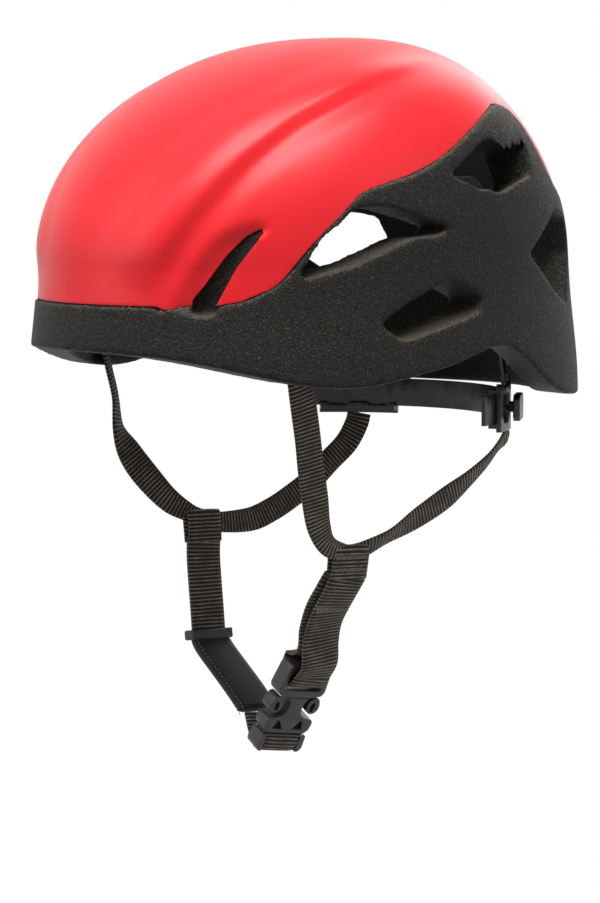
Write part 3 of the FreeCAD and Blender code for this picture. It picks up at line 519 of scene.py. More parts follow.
def near_line(points, line):
    """Distance to an open line, the share of its length there, and the side vector."""
    best = np.full(len(points), 1e9)
    share = np.zeros(len(points))
    offset = np.zeros_like(points)
    line = np.array(line, float)
    for number, (a, b) in enumerate(zip(line[:-1], line[1:])):
        span = b - a
        t = np.clip((points - a) @ span / (span @ span), 0, 1)
        gap = points - (a + t[:, None] * span)
        far = np.linalg.norm(gap, axis=1)
        closer = far < best
        best = np.where(closer, far, best)
        share = np.where(closer, (number + t) / (len(line) - 1), share)
        offset = np.where(closer[:, None], gap, offset)
    return best, share, offset


def eased(value, low, high):
    """0 below low, 1 above high, and a soft climb between."""
    t = np.clip((value - low) / (high - low), 0, 1)
    return t * t * (3 - 2 * t)


# valley that runs from the brow up over the crown, one each side
VALLEY = spline([(50, -121, 25), (54, -117.5, 42), (61, -110.5, 58), (67, -99.5, 73),
                 (71, -87, 86), (74.5, -73.5, 97), (76.5, -60, 105.5), (78.5, -44, 113),
                 (78.5, -22, 122), (75, 8, 131), (66, 34, 137)], 4.0)
# upper edge of the sunk facet beside each slot, as (across, up) in the slot's own plane
FACET = spline([(-36, 22), (-27, 40), (-15.5, 55.5), (-4, 62), (7, 64.5), (12, 61)], 1.5)
# outline of the slot on that plane, and the plane's turn in plan
SLOT = [(-24.5, 14.0), (-24, 27), (-19, 33), (-12.8, 41.7), (-8.5, 47.5), (-4.1, 52), (0, 55.8),
        (4.5, 58.3), (7.2, 59.3), (7.6, 57.6), (6, 54), (-3.5, 41), (-12.5, 24.0), (-17, 14.0)]
SLOT_TURN = math.radians(-50)
# the slot's long edge as (up, across), beside which the facet ends
SLOT_EDGE = [(14, -24.5), (27, -24), (41.7, -12.8), (52, -4.1), (58, 4.5), (62, 9)]
SHOULDER_TALL, VALLEY_DEEP, FACET_DEEP = 2.6, 1.1, 3.8
# a point inside the head and the way the valley runs, which tell its outer side from its inner
INSIDE_HEAD = np.array([0.0, 12.0, 60.0])
VALLEY_RUNS = np.array([0.35, 0.75, 0.55])


def slot_plane(points):
    """(across, up) of points on the slot's own plane."""
    across = -points[:, 0] * math.sin(SLOT_TURN) + points[:, 1] * math.cos(SLOT_TURN)
    return np.stack([across, points[:, 2]], 1)


def relief(points):
    """How far the moulded surface stands above (or below) the plain dome, in mm."""
    half = points.copy()
    half[:, 0] = np.abs(half[:, 0])
    gap, share, offset = near_line(half, VALLEY)
    outer = np.cross(unit(half - INSIDE_HEAD), VALLEY_RUNS)
    signed = gap * np.sign(np.einsum("ij,ij->i", offset, outer))
    strength = eased(share, 0.0, 0.12) * (1 - eased(share, 0.62, 1.0))
    shoulder = SHOULDER_TALL * eased(signed, -1.0, 7.0) * (1 - eased(signed, 12.0, 34.0))
    dip = -VALLEY_DEEP * (1 - eased(np.abs(signed + 2.0), 0.0, 11.0))
    height = strength * (shoulder + dip)

    flat = slot_plane(half)
    edge_gap = near_line(flat, FACET)[0]
    below = np.interp(flat[:, 0], FACET[:, 0], FACET[:, 1]) > flat[:, 1]
    inside = below & (flat[:, 0] > -36) & (flat[:, 0] < 12) & (half[:, 1] < -60)
    inside &= flat[:, 0] < np.interp(flat[:, 1], *np.transpose(SLOT_EDGE)) + 4.0
    height -= np.where(inside, FACET_DEEP * eased(edge_gap, 0.0, 10.5), 0.0)
    return height


def raised(points):
    """Dome points in mm moved by the relief, along a line from the middle of the head."""
    return points + unit(points - MIDDLE) * relief(points)[:, None]


def prism(name, outline, origin, along, up, low, high):
    """Straight cutter with this outline (mm) between two distances along its own line."""
    along, up = np.array(along, float), np.array(up, float)
    out = np.cross(along, up)
    verts = []
    for reach in (low, high):
        for a, u in outline:
            verts.append((np.array(origin) + along * a + up * u + out * reach) * MM)
    n = len(outline)
    faces = [tuple(range(n)), tuple(range(2 * n - 1, n - 1, -1))]
    faces += [(k, k + n, (k + 1) % n + n, (k + 1) % n) for k in range(n)]
    return outward(piece(name, verts, faces, RED, smooth=False))


def cut(thing, cutter, operation="DIFFERENCE"):
    modifier(thing, "BOOLEAN", operation=operation, object=cutter, solver="MANIFOLD")
    settle(thing)
    bpy.data.objects.remove(cutter)


SHELL_WALL, SHELL_HEM = 2.0, 17
COLUMNS, SKIRT_ROWS, DOME_ROWS = 320, 12, 92


def shell_outline():
    """Side view of the area that the shell covers, as (back, up) in mm."""
    brow = [(-175, 24), (-128, 24), (-122.5, 24), (-120.5, 22.6), (-118, 22.9), (-112, 24.4),
            (-104, 24.8), (-96, 26.5), (-86, 31.5)]
    side = spline([(-84, 32.5), (-79, 37), (-68, 51), (-54, 65), (-43, 75), (-31, 79.5),
                   (-18, 83.5), (0, 91), (22, 103.5), (38, 112), (46, 115.5)], 3.0).tolist()
    spine = spline([(51, 115.8), (64, 110.5), (75, 98), (84, 84), (100, 73), (160, 63)],
                   4.0).tolist()
    return brow + side + spine + [(175, 62), (175, 260), (-175, 260)]


def whole_dome():
    """The shell's two walls from the hem to the crown, joined at the hem, before trimming."""
    turns = np.linspace(0, 2 * np.pi, COLUMNS, endpoint=False)
    climbs = np.sin(np.linspace(0, np.pi / 2, DOME_ROWS))[1:-1]
    rows = [(-1.0, level) for level in np.linspace(SHELL_HEM, WIDEST, SKIRT_ROWS)]
    rows += [(climb, 0) for climb in climbs]
    verts = []
    for grow in (0.0, -SHELL_WALL):
        for climb, level in rows:
            verts.append(raised(dome(turns, np.full_like(turns, climb), level, grow)) * MM)
    verts += [dome(np.array([0.0]), np.array([1.0]), 0, grow) * MM for grow in (0, -SHELL_WALL)]
    deep = len(rows)
    inner, last, tip = COLUMNS * deep, COLUMNS * (deep - 1), 2 * COLUMNS * deep
    faces = grid_faces(deep, COLUMNS) + [f[::-1] for f in grid_faces(deep, COLUMNS, inner)]
    for c in range(COLUMNS):
        c2 = (c + 1) % COLUMNS
        faces.append((c2, c, inner + c, inner + c2))
        faces.append((last + c, last + c2, tip))
        faces.append((inner + last + c2, inner + last + c, tip + 1))
    return outward(piece("crown_shell", np.vstack(verts), faces, RED))


def make_shell():
    shell = whole_dome()
    zone = prism("zone", shell_outline(), (0, 0, 0), (0, 1, 0), (0, 0, 1), -170, 170)
    cut(shell, zone, "INTERSECT")
    for sign in (1, -1):
        along = (-math.sin(SLOT_TURN) * sign, math.cos(SLOT_TURN), 0)
        low, high = (90, 150) if sign > 0 else (-150, -90)
        cut(shell, prism("slot", SLOT, (0, 0, 0), along, (0, 0, 1), low, high))
    painted(shell, RED)
    bevelled(shell, 0.35, 50, use_clamp_overlap=True)
    settle(shell)
    shade_by_angle(shell, 40)
    dress(shell, "helmet", "shell", "outer_shell")
    return shell


def shade_by_angle(thing, degrees):
    """Shade smooth but for the edges that turn by this many degrees or more."""
    thing.data.polygons.foreach_set("use_smooth", [True] * len(thing.data.polygons))
    work = bmesh.new()
    work.from_mesh(thing.data)
    for edge in work.edges:
        if len(edge.link_faces) == 2:
            edge.smooth = edge.calc_face_angle(0) < math.radians(degrees)
    work.to_mesh(thing.data)
    work.free()

# ------------------------------------------------------------------ foam liner and pads


UNDER_SHELL = 0.8  # mm that foam and core keep from the shell's inner face
FOAM_CELL, CORE_CELL, PAD_CELL = 1.55, 2.2, 3.5
PAD_RISE = 1.1  # mm that a pad may swell past its solid
PAD_FRAMES = 20


def remeshed(node, name, material, cell):
    """A copy of a CAD node made of even small quads, of this size in mm."""
    thing = copy_of(node, name, material)
    modifier(thing, "REMESH", mode="VOXEL", voxel_size=cell * MM)
    return settle(thing)


def tucked(thing, cover, gap):
    """Keep a piece's points at least this far (mm) under the cover's inner face, which is
    looked for along a line from the middle, starting some way inside each point."""
    inside, reach = 6, 10
    points = positions(thing.data)
    work = bmesh.new()
    work.from_mesh(cover.data)
    tree = BVHTree.FromBMesh(work)
    work.free()
    outs = unit(points - MIDDLE * MM)
    for number, (point, out) in enumerate(zip(points, outs)):
        out = Vector(out)
        start = Vector(point) - out * (inside * MM)
        spot, normal, index, far = tree.ray_cast(start, out, reach * MM)
        if index is not None and normal.dot(out) < -0.3 and far < (inside + gap) * MM:
            points[number] = spot - out * (gap * MM)
    move_to(thing.data, points)


def make_foam(shell):
    foam = remeshed("foam_liner", "foam_body", FOAM, FOAM_CELL)
    modifier(foam, "SMOOTH", factor=0.5, iterations=3)
    settle(foam)
    tucked(foam, shell, UNDER_SHELL)
    painted(foam, FOAM)
    dress(foam, "helmet", "foam", "foam_liner")


def make_core(shell):
    core = remeshed("crown_core", "crown_core_foam", CORE, CORE_CELL)
    tucked(core, shell, UNDER_SHELL)
    painted(core, CORE)
    shade_by_angle(core, 40)
    dress(core, "helmet", "core", "crown_core")


def blown_up(pad):
    """Let pressure swell the pad as cloth, then draw each point back to within PAD_RISE."""
    start = positions(pad.data)
    cloth = pad.modifiers.new("stuffing", "CLOTH")
    setup = cloth.settings
    setup.use_pressure = True
    setup.uniform_pressure_force = 4.0
    setup.effector_weights.gravity = 0.0
    setup.quality = 4
    setup.tension_stiffness = setup.compression_stiffness = 12.0
    setup.bending_stiffness = 0.6
    cloth.point_cache.frame_start, cloth.point_cache.frame_end = 1, PAD_FRAMES
    for step in range(1, PAD_FRAMES + 1):
        bpy.context.scene.frame_set(step)
    settle(pad)
    shift = positions(pad.data) - start
    length = np.linalg.norm(shift, axis=1, keepdims=True)
    shift *= np.minimum(1.0, PAD_RISE * MM / np.maximum(length, 1e-9))
    move_to(pad.data, start + shift)
    bpy.context.scene.frame_set(1)


def stuffed(node):
    """A comfort pad: the CAD solid blown up as cloth and then pressed back to its seat."""
    pad = remeshed(node, node + "_stuffed", PAD, PAD_CELL)
    blown_up(pad)
    modifier(pad, "SUBSURF", levels=1, render_levels=1)
    settle(pad)
    painted(pad, PAD)
    dress(pad, "helmet", "pad", node)


def make_pads():
    for node in ("brow_pad", "crown_pad", "side_pad_left", "side_pad_right"):
        stuffed(node)
    moulded("pad_discs", "helmet", HOOK, "pad", 0.2)

# ------------------------------------------------------------------ stitching


def stitch_nodes():
    """Node group: even stitches along a line, each a small rounded bar of thread."""
    group = bpy.data.node_groups.new("stitch_row", "GeometryNodeTree")
    face = group.interface
    face.new_socket("Line", in_out="INPUT", socket_type="NodeSocketGeometry")
    for label, default in (("Pitch", 0.0025), ("Length", 0.0019), ("Radius", 0.0003)):
        made = face.new_socket(label, in_out="INPUT", socket_type="NodeSocketFloat")
        made.default_value = default
    face.new_socket("Stitches", in_out="OUTPUT", socket_type="NodeSocketGeometry")
    new, link = group.nodes.new, group.links.new
    given, result = new("NodeGroupInput"), new("NodeGroupOutput")
    line = new("GeometryNodeMeshToCurve")
    even = new("GeometryNodeResampleCurve")
    even.mode = "LENGTH"
    bead = new("GeometryNodeMeshUVSphere")
    bead.inputs["Segments"].default_value = 8
    bead.inputs["Rings"].default_value = 6
    stretch = new("GeometryNodeTransform")
    ratio = new("ShaderNodeMath")
    ratio.operation = "DIVIDE"
    half = new("ShaderNodeMath")
    half.operation = "MULTIPLY"
    half.inputs[1].default_value = 0.5
    scale = new("ShaderNodeCombineXYZ")
    scale.inputs[0].default_value = scale.inputs[1].default_value = 1.0
    tangent = new("GeometryNodeInputTangent")
    turn = new("FunctionNodeAlignRotationToVector")
    turn.axis = "Z"
    copies = new("GeometryNodeInstanceOnPoints")
    real = new("GeometryNodeRealizeInstances")
    paint = new("GeometryNodeSetMaterial")
    paint.inputs["Material"].default_value = THREAD
    link(given.outputs["Line"], line.inputs[0])
    link(line.outputs[0], even.inputs["Curve"])
    link(given.outputs["Pitch"], even.inputs["Length"])
    link(given.outputs["Radius"], bead.inputs["Radius"])
    link(given.outputs["Length"], half.inputs[0])
    link(half.outputs[0], ratio.inputs[0])
    link(given.outputs["Radius"], ratio.inputs[1])
    link(ratio.outputs[0], scale.inputs[2])
    link(bead.outputs["Mesh"], stretch.inputs["Geometry"])
    link(scale.outputs[0], stretch.inputs["Scale"])
    link(tangent.outputs[0], turn.inputs["Vector"])
    link(even.outputs[0], copies.inputs["Points"])
    link(stretch.outputs[0], copies.inputs["Instance"])
    link(turn.outputs[0], copies.inputs["Rotation"])
    link(copies.outputs[0], real.inputs[0])
    link(real.outputs[0], paint.inputs["Geometry"])
    link(paint.outputs[0], result.inputs[0])
    return group


STITCHES = stitch_nodes()


def stitched(name, rows, pitch, length, radius):
    """Rows of stitches along the given lines; points and sizes in mm."""
    verts, edges = [], []
    for row in rows:
        first = len(verts)
        verts += [tuple(np.array(p) * MM) for p in row]
        edges += [(first + k, first + k + 1) for k in range(len(row) - 1)]
    mesh = bpy.data.meshes.new(name)
    mesh.from_pydata(verts, edges, [])
    thing = linked(name, mesh)
    rig = modifier(thing, "NODES", node_group=STITCHES)
    sizes = {"Pitch": pitch, "Length": length, "Radius": radius}
    for item in STITCHES.interface.items_tree:
        if item.in_out == "INPUT" and item.name in sizes:
            rig[item.identifier] = sizes[item.name] * MM
    settle(thing)
    painted(thing, THREAD)
    dress(thing, "helmet", "webbing")

# ------------------------------------------------------------------ harness


WEBBING_WALL, CHIN_WIDE, TAB_WIDE = 1.5, 20, 19.4
SLEEVE_WALL, DOUBLED_WALL = 4.2, 2.8


def rows_of(points, faces, widths):
    """Rows for strap(); one facing or one width serves for all points."""
    faces = [faces] * len(points) if np.ndim(faces) == 1 else faces
    widths = [widths] * len(points) if np.ndim(widths) == 0 else widths
    return [(*p, *f, w) for p, f, w in zip(points, faces, widths)]


TOWARD = np.array([0.80, -0.59, 0.10])  # out to the front left, the way left straps face


def twisted(points, angles, widths):
    """Rows that face the front left, turned about the strap's own line by degrees."""
    points = np.array(points, float)
    tangent = unit(np.gradient(points, axis=0))
    face = unit(TOWARD - tangent * (tangent @ TOWARD)[:, None])
    side = np.cross(tangent, face)
    turn = np.radians(angles)[:, None]
    return rows_of(points, face * np.cos(turn) + side * np.sin(turn), widths)


JUNCTION = {"left": np.array([61.3, -20.5, -92.0]), "right": np.array([-61.3, -20.0, -86.5])}
CHIN_LINE = unit(np.array([52.0, -22.0, -152.0]) - JUNCTION["left"])
BUCKLE_FOOT = np.array([4.6, -24.0, -195.1])
BUCKLE_AXIS = unit(np.array([0.439, 0.121, 0.890]))
BUCKLE_ACROSS = unit(np.cross((0.898, -0.0575, -0.435), BUCKLE_AXIS))
BUCKLE_FACE = np.cross(BUCKLE_AXIS, BUCKLE_ACROSS)
SLEEVE_TOP = np.array([-50.5, -22.0, -151.0])

FRONT = {
    "left": rows_of([(80, -63.3, -1), (80, -63.3, -10)], (1, 0, 0), [15, 14])
    + twisted([(77.5, -59.2, -24.5), (75, -55.1, -38.7), (72, -51.1, -53.1),
               (69, -46.5, -67.7), (65.4, -41.5, -81), (62.9, -34, -91)],
              [-30, -26, -22, -20, -24, -34], [13.5, 13, 13, 13, 12, 10])
    + rows_of([(62, -21, -96)], (1, 0, 0.1), 8),
    "right": rows_of([(-80, -63.3, -1), (-80, -63.3, -11), (-78.5, -60, -28),
                      (-75.5, -59.8, -45), (-73, -54, -58), (-69, -45.9, -70.2),
                      (-65, -36.5, -81), (-62.8, -26, -87.5), (-62.2, -19, -90)],
                     [(-0.85, -0.5, 0), (-0.68, -0.73, 0), (-0.68, -0.73, 0),
                      (-0.8, -0.6, 0), (-0.95, -0.2, 0), (-1, 0, 0), (-1, -0.1, 0.1),
                      (-1, 0, 0.2), (-1, 0, 0.1)],
                     [15, 15, 15, 15, 15, 14, 12, 9, 8]),
}
GUIDE_OUT = (0.712, 0.702, 0.0)
REAR = {
    "left": twisted([(60.4, -22, -96), (60.6, -12, -94.3), (61.6, 2, -89.2), (62.3, 20, -81),
                     (62.7, 36, -73), (62.6, 50, -65), (61.8, 63, -56.4), (60.6, 71.5, -49)],
                    [10, 40, 66, 44, 38, 58, 72, 76], [8, 9, 12, 12, 12, 12, 12, 12])
    + rows_of([(59.9, 76, -45), (59.5, 77.6, -42.3)], GUIDE_OUT, 12),
    "right": rows_of([(-60.6, -21, -91), (-60.9, -10.9, -92.9), (-61.5, 9.8, -93),
                      (-62.3, 24, -89), (-63, 36, -83.6), (-62.8, 49, -76),
                      (-62.5, 61.1, -66.1), (-61.5, 71, -57.5), (-60.3, 76.5, -48),
                      (-59.5, 77.6, -42.3)],
                     [(-1, 0, 0), (-1, 0, -0.1), (-1, 0, -0.25), (-1, 0.05, -0.3),
                      (-1, 0.1, -0.25), (-1, 0.2, -0.15), (-1, 0.35, 0), (-0.9, 0.5, 0),
                      (-0.8, 0.62, 0), (-0.712, 0.702, 0)],
                     [8, 10, 12, 12, 12, 12, 12, 12, 12, 12]),
}


def in_buckle(across, out, along):
    """The part's point for a place in the buckle's own frame, all in mm."""
    return BUCKLE_FOOT + BUCKLE_ACROSS * across + BUCKLE_FACE * out + BUCKLE_AXIS * along


def buckle_rows(places, width):
    """Rows for strap() from (out, along, facing out, facing along) in the buckle's frame."""
    return [(*in_buckle(0, out, along), *(BUCKLE_FACE * a + BUCKLE_AXIS * b), width)
            for out, along, a, b in places]


def zigzag(centre, across, down, width, tall, steps):
    """Points of a to-and-fro row of stitches."""
    return [centre + across * (k / steps - 0.5) * width + down * tall * (0.5 if k % 2 else -0.5)
            for k in range(steps + 1)]


def make_fold(side, top, down, outer):
    """The chin strap's own end folded over the side straps and stitched across."""
    across = np.cross(down, outer)
    up = -down
    rows = [(top + down * 15.5 - outer * 1.6, -outer), (top + down * 8 - outer * 2.0, -outer),
            (top + down * 3 - outer * 2.2, -outer), (top + down * 0.7 - outer * 1.5, up - outer),
            (top, up), (top + down * 0.7 + outer * 1.5, up + outer),
            (top + down * 3 + outer * 2.2, outer), (top + down * 8 + outer * 2.0, outer),
            (top + down * 15.5 + outer * 1.6, outer)]
    made = strap("folded_webbing_" + side, [(*p, *f, CHIN_WIDE) for p, f in rows],
                 WEBBING_WALL, WEB, step=0.8)
    dress(made, "helmet", "webbing", "junction_loop_" + side)
    lines = [zigzag(top + down * reach + outer * lift, across, down, 18.5, 1.6, 34)
             for reach, lift in ((4.8, 3.05), (10.9, 2.8))]
    stitched("fold_stitches_" + side, lines, 1.0, 1.25, 0.27)


def make_side_straps():
    """Front and rear strap of each side, and the fold that gathers them."""
    for side, sign in (("left", 1), ("right", -1)):
        made = strap("front_webbing_" + side, FRONT[side], WEBBING_WALL, WEB)
        dress(made, "helmet", "webbing", "front_strap_" + side)
        made = strap("rear_webbing_" + side, REAR[side], WEBBING_WALL, WEB)
        bends = ("helmet", "cradle", (sign * 61, -8, -93), (sign * 60, 74, -47))
        dress(made, bends, "webbing", "rear_strap_" + side)
        outer = unit(np.array([sign * 0.98, -0.05, -0.12]))
        down = CHIN_LINE * (sign, 1, 1)
        down = unit(down - outer * (down @ outer))
        make_fold(side, JUNCTION[side], down, outer)


def make_left_chin_strap():
    """Down to the buckle, round the plug's bar and back up, with a bar tack across."""
    near = rows_of([(60.7, -21, -106.6), (57.2, -22, -113), (49.6, -22.8, -123.5),
                    (42.6, -22, -133), (39.2, -21, -142), (36.3, -19.4, -152)],
                   [(0.98, -0.05, -0.12), (1, -0.05, -0.4), (0.95, -0.05, -0.42),
                    (0.95, -0.05, -0.3), (0.95, -0.05, -0.25), (0.93, -0.05, -0.35)],
                   CHIN_WIDE)
    curl = buckle_rows([(7.2, 45, 1, 0), (6.4, 41, 1, -0.15), (4.6, 37.6, 0.8, -0.7),
                        (1.6, 36.2, 0.1, -1), (-1.6, 37.4, -0.7, -0.7), (-4.6, 41.5, -1, 0),
                        (-6.6, 46, -1, 0.1), (-6.2, 52, -1, 0)], CHIN_WIDE)
    hidden = rows_of([(35.8, -21.5, -141), (40.2, -23.5, -132), (46.4, -24.6, -121.5),
                      (53, -24, -113), (57.3, -22, -106.6)],
                     [(-1, 0.05, 0.35)] * 4 + [(-0.98, 0.05, 0.12)], CHIN_WIDE)
    made = strap("chin_webbing_left", near + curl + hidden, WEBBING_WALL, WEB, step=1.0)
    dress(made, "helmet", "webbing", "chin_strap_left")
    across = unit(np.cross(CHIN_LINE, (1.0, 0, -0.35)))
    tack = zigzag(np.array([51.2, -22.8, -122.9]), across, CHIN_LINE, 19, 3.0, 44)
    stitched("bar_tack_left", [tack], 1.1, 1.5, 0.28)


def make_right_chin_strap():
    """Doubled webbing from the fold down into the sleeve."""
    foot = JUNCTION["right"] + CHIN_LINE * (-1, 1, 1) * 14
    far = rows_of([foot, (-58.3, -21, -111.4), (-54.4, -21.6, -136), (-52, -22, -152)],
                  (-0.99, 0, -0.15), 19)
    made = strap("chin_webbing_right", far, DOUBLED_WALL, WEB)
    dress(made, "helmet", "webbing", "chin_strap_right")


def make_chin_sleeve():
    """The soft sleeve, its edge stitches, and the tab from it round the socket's bar."""
    slope = (-0.58, 0, -0.81)
    rows = rows_of([(-52.3, -22, -148), SLEEVE_TOP, (-45, -22, -155.5), (-33, -22, -163.5),
                    (-20, -22.3, -172), (-10, -23, -179)],
                   [(-0.95, 0, -0.3), (-0.8, 0, -0.6), (-0.65, 0, -0.76), slope, slope, slope],
                   [20, 21, 21.5, 21.5, 21.5, 20.5])
    sleeve = strap("chin_sleeve_soft", rows, SLEEVE_WALL, SLEEVE)
    dress(sleeve, "helmet", "sleeve", "chin_sleeve")
    lines = [[np.array(r[:3]) + np.array([-slope[0], 0, -slope[2]]) * lift
              + np.array([0, side * 9.6, 0]) for r in rows[1:]]
             for side in (-1, 1) for lift in (2.3, -2.3)]
    stitched("sleeve_stitches", lines, 2.4, 1.5, 0.22)
    tab = [(*in_buckle(0, -17.5, 7.5), *slope, 18.5)]
    tab += buckle_rows([(-11, 2.6, -0.6, -0.8), (-5.4, -0.6, -0.4, -0.9), (-1.2, -1.6, 0, -1),
                        (2.6, -0.4, 0.6, -0.8), (4.0, 2.6, 1, -0.2), (4.1, 5.5, 1, 0),
                        (3.3, 8.8, 0.95, 0.3), (2.7, 10.2, 0.9, 0.3)], TAB_WIDE)
    made = strap("socket_webbing", tab, WEBBING_WALL, WEB, step=0.6)
    dress(made, "helmet", "webbing", "socket_tab")


def rounded(points, radius, steps=4):
    """Outline with every corner turned into a short arc."""
    points = np.array(points, float)
    made = []
    for before, here, after in zip(np.roll(points, 1, 0), points, np.roll(points, -1, 0)):
        a, b = before - here, after - here
        reach = min(radius, 0.45 * np.linalg.norm(a), 0.45 * np.linalg.norm(b))
        start, end = here + unit(a) * reach, here + unit(b) * reach
        for t in np.linspace(0, 1, steps):
            made.append((1 - t) ** 2 * start + 2 * t * (1 - t) * here + t * t * end)
    return made


def both_halves(half):
    """Outline from its right half, mirrored across the buckle's middle."""
    return list(half) + [(-a, u) for a, u in reversed(half)]


def block(name, outline, low, high):
    """Straight plate across the buckle's thickness."""
    return prism(name, outline, BUCKLE_FOOT, BUCKLE_ACROSS, BUCKLE_AXIS, low, high)


def sunk(thing, outline, low, high=7.0):
    """Cut the outline into both faces down to this height above the middle."""
    for near, far in ((low, high), (-high, -low)):
        cut(thing, block("tool", outline, near, far))


def cast(thing, node, body, edge):
    """Round a buckle part's edges and dress it as this node."""
    bevelled(thing, edge, 40, segments=3, use_clamp_overlap=True)
    settle(thing)
    painted(thing, BUCKLE)
    shade_by_angle(thing, 50)
    dress(thing, body, "buckle", node)


def make_socket():
    """Webbing bar, collar and windowed face, with a neck that stands between the prongs."""
    socket = block("socket_cast", rounded(both_halves([(12.2, -0.4), (13.6, 2.0),
                                                       (13.0, 9.3)]), 1.2), -4.7, 4.7)
    sunk(socket, [(-10.2, -2), (10.2, -2), (10.2, 8.4), (-10.2, 8.4)], 1.7)
    collar = [(-11.4, 8.4), (11.4, 8.4), (11.4, 11.2), (-11.4, 11.2)]
    cut(socket, block("collar", collar, -3.2, 3.2), "UNION")
    face = both_halves([(11.2, 10.2), (13.3, 12.2), (13.8, 16.4), (12.6, 18.2), (7.6, 19.0),
                        (4.9, 20.6), (4.0, 23.6), (4.0, 27.4), (5.2, 29.4), (6.4, 30.1)])
    cut(socket, block("face", rounded(face, 0.9), -4.4, 4.4), "UNION")
    for sign in (1, -1):
        window = [(sign * 8.9, 12.4), (sign * 2.9, 12.2), (sign * 6.0, 17.2),
                  (sign * 7.6, 17.2)]
        sunk(socket, rounded(window, 0.5), 1.8)
    cast(socket, "buckle_socket", "helmet", 0.5)


def make_plug():
    """Open ring; the left chin strap turns round its upper bar."""
    ring = both_halves([(6.4, 30.4), (12.6, 31.6), (13.8, 34.0), (13.5, 37.0), (12.7, 46.0),
                        (11.8, 48.4)])
    plug_body = block("plug_cast", rounded(ring, 1.0), -4.4, 4.4)
    cut(plug_body, block("tool", rounded(both_halves([(10.3, 34.4), (10.3, 44.6)]), 0.9),
                         -7, 7))
    cast(plug_body, "buckle_plug", "helmet", 0.55)


def make_prongs():
    """The two sprung prongs: the front one is shaped and the rear one mirrors it."""
    for name, body, sign in (("prong_front", "clip_front", 1), ("prong_rear", "clip_rear", -1)):
        lens = [(8.4, 21.9), (10.2, 20.9), (12.8, 21.1), (14.6, 23.2), (14.6, 26.4),
                (13.2, 29.4), (11.4, 30.4), (8.8, 29.2), (7.4, 26.6), (7.5, 24.0)]
        eye = [(9.4, 22.6), (11.4, 22.0), (12.0, 26.0), (10.8, 27.9), (9.4, 25.6)]
        prong = block(name + "_cast", rounded([(sign * a, u) for a, u in lens], 1.4), -3.6, 3.6)
        sunk(prong, rounded([(sign * a, u) for a, u in eye], 0.5), 1.4)
        cast(prong, name, body, 0.7)


def make_hardware():
    make_socket()
    make_plug()
    make_prongs()
    moulded("strap_keeper", "keeper", ELASTIC, "elastic", 0.9)
    moulded("nape_belt", "cradle", FRAME, "frame", 0.12)
    for side, sign in (("left", 1), ("right", -1)):
        moulded("strap_anchor_" + side, "helmet", HOOK, "hook", 0.4)
        moulded("guide_" + side, "slider_" + side, FRAME, "frame", 0.4)
        moulded("grip_" + side, "button_" + side, FRAME, "frame", 0.6)
        bends = ("cradle", "slider_" + side, (sign * 71, 62, 8), (sign * 61, 74, -16))
        moulded("hanger_" + side, bends, FRAME, "frame", 0.3)
        moulded("pivot_pin_" + side, "helmet", FRAME, "pin", 0.3)


shell = make_shell()
make_foam(shell)
make_core(shell)
make_pads()
make_side_straps()
make_left_chin_strap()
make_right_chin_strap()
make_chin_sleeve()
make_hardware()

# ------------------------------------------------------------------ light and camera

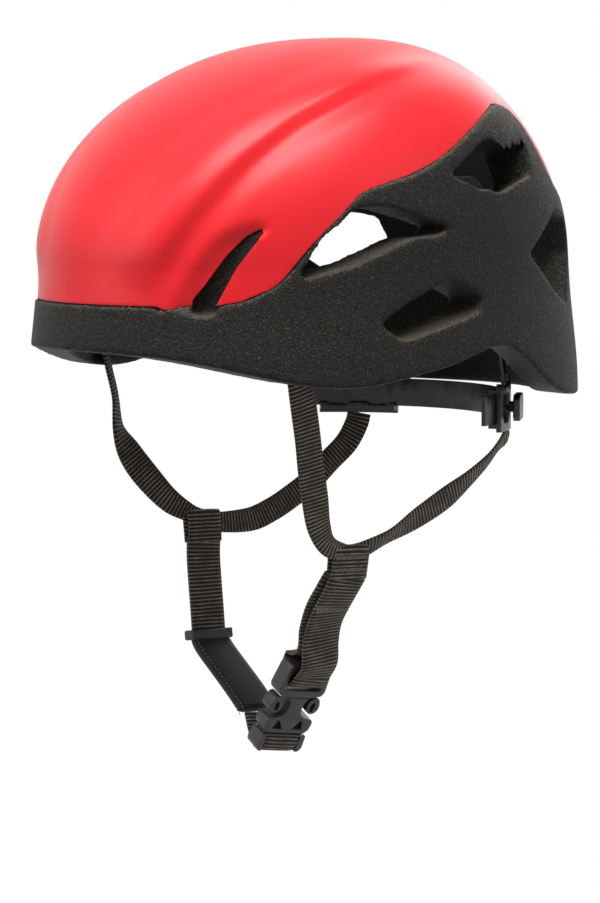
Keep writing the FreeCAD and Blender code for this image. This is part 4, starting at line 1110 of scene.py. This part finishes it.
TURN, TILT, FAR = math.radians(53.528), math.radians(5.609), 1.7
SENSOR, FIELD = 36.0, 0.4407  # mm of film, and the metres that it covers at the aim
ASIDE, BELOW = 3.38, 53.206  # mm from the origin to the aim, to the camera's left and down
LAMP_FAR, SOFT_LEVEL = 1.6, 0.22
WHITE = (1, 1, 1, 1)
right = Vector((math.cos(TURN), math.sin(TURN), 0))
aimed = right * (-ASIDE * MM) + Vector((0, 0, -BELOW * MM))
back = Vector((math.sin(TURN) * math.cos(TILT), -math.cos(TURN) * math.cos(TILT),
               math.sin(TILT)))
camera = linked("camera", bpy.data.cameras.new("camera"))
camera.location = aimed + back * FAR
camera.rotation_euler = (-back).to_track_quat("-Z", "Y").to_euler()
camera.data.lens = SENSOR * FAR / FIELD
camera.data.sensor_width = SENSOR
bpy.context.scene.camera = camera


def lamp(name, azimuth, elevation, size, watts):
    """Soft rectangular light aimed at the helmet; azimuth is measured from the camera."""
    light = bpy.data.lights.new(name, "AREA")
    light.shape, light.size, light.size_y, light.energy = "RECTANGLE", size[0], size[1], watts
    thing = linked(name, light)
    a, e = TURN + math.radians(azimuth), math.radians(elevation)
    away = Vector((math.sin(a) * math.cos(e), -math.cos(a) * math.cos(e), math.sin(e)))
    thing.location = Vector((0, 0, 0.02)) + away * LAMP_FAR
    thing.rotation_euler = (-away).to_track_quat("-Z", "Y").to_euler()


lamp("key", -12, 66, (1.3, 0.9), 40)
lamp("front", -70, 25, (0.8, 1.4), 7)
lamp("fill", 55, 12, (1.0, 1.4), 4)
lamp("rim", 150, 35, (0.8, 1.2), 9)

world = bpy.data.worlds.new("studio")
bpy.context.scene.world = world
world.use_nodes = True
nodes, links = world.node_tree.nodes, world.node_tree.links
nodes.clear()
seen = nodes.new("ShaderNodeLightPath")
soft, white = nodes.new("ShaderNodeBackground"), nodes.new("ShaderNodeBackground")
for shade, strength in ((soft, SOFT_LEVEL), (white, 1.0)):
    shade.inputs["Color"].default_value = WHITE
    shade.inputs["Strength"].default_value = strength
pick, out = nodes.new("ShaderNodeMixShader"), nodes.new("ShaderNodeOutputWorld")
# white where the camera, a reflection or a view through sees it, and soft light elsewhere
either = seen.outputs["Is Camera Ray"]
for ray in ("Is Glossy Ray", "Is Transmission Ray"):
    larger = nodes.new("ShaderNodeMath")
    larger.operation = "MAXIMUM"
    links.new(either, larger.inputs[0])
    links.new(seen.outputs[ray], larger.inputs[1])
    either = larger.outputs[0]
links.new(either, pick.inputs[0])
links.new(soft.outputs[0], pick.inputs[1])
links.new(white.outputs[0], pick.inputs[2])
links.new(pick.outputs[0], out.inputs[0])

scene = bpy.context.scene
scene.view_settings.view_transform = "Standard"
scene.view_settings.look = "None"
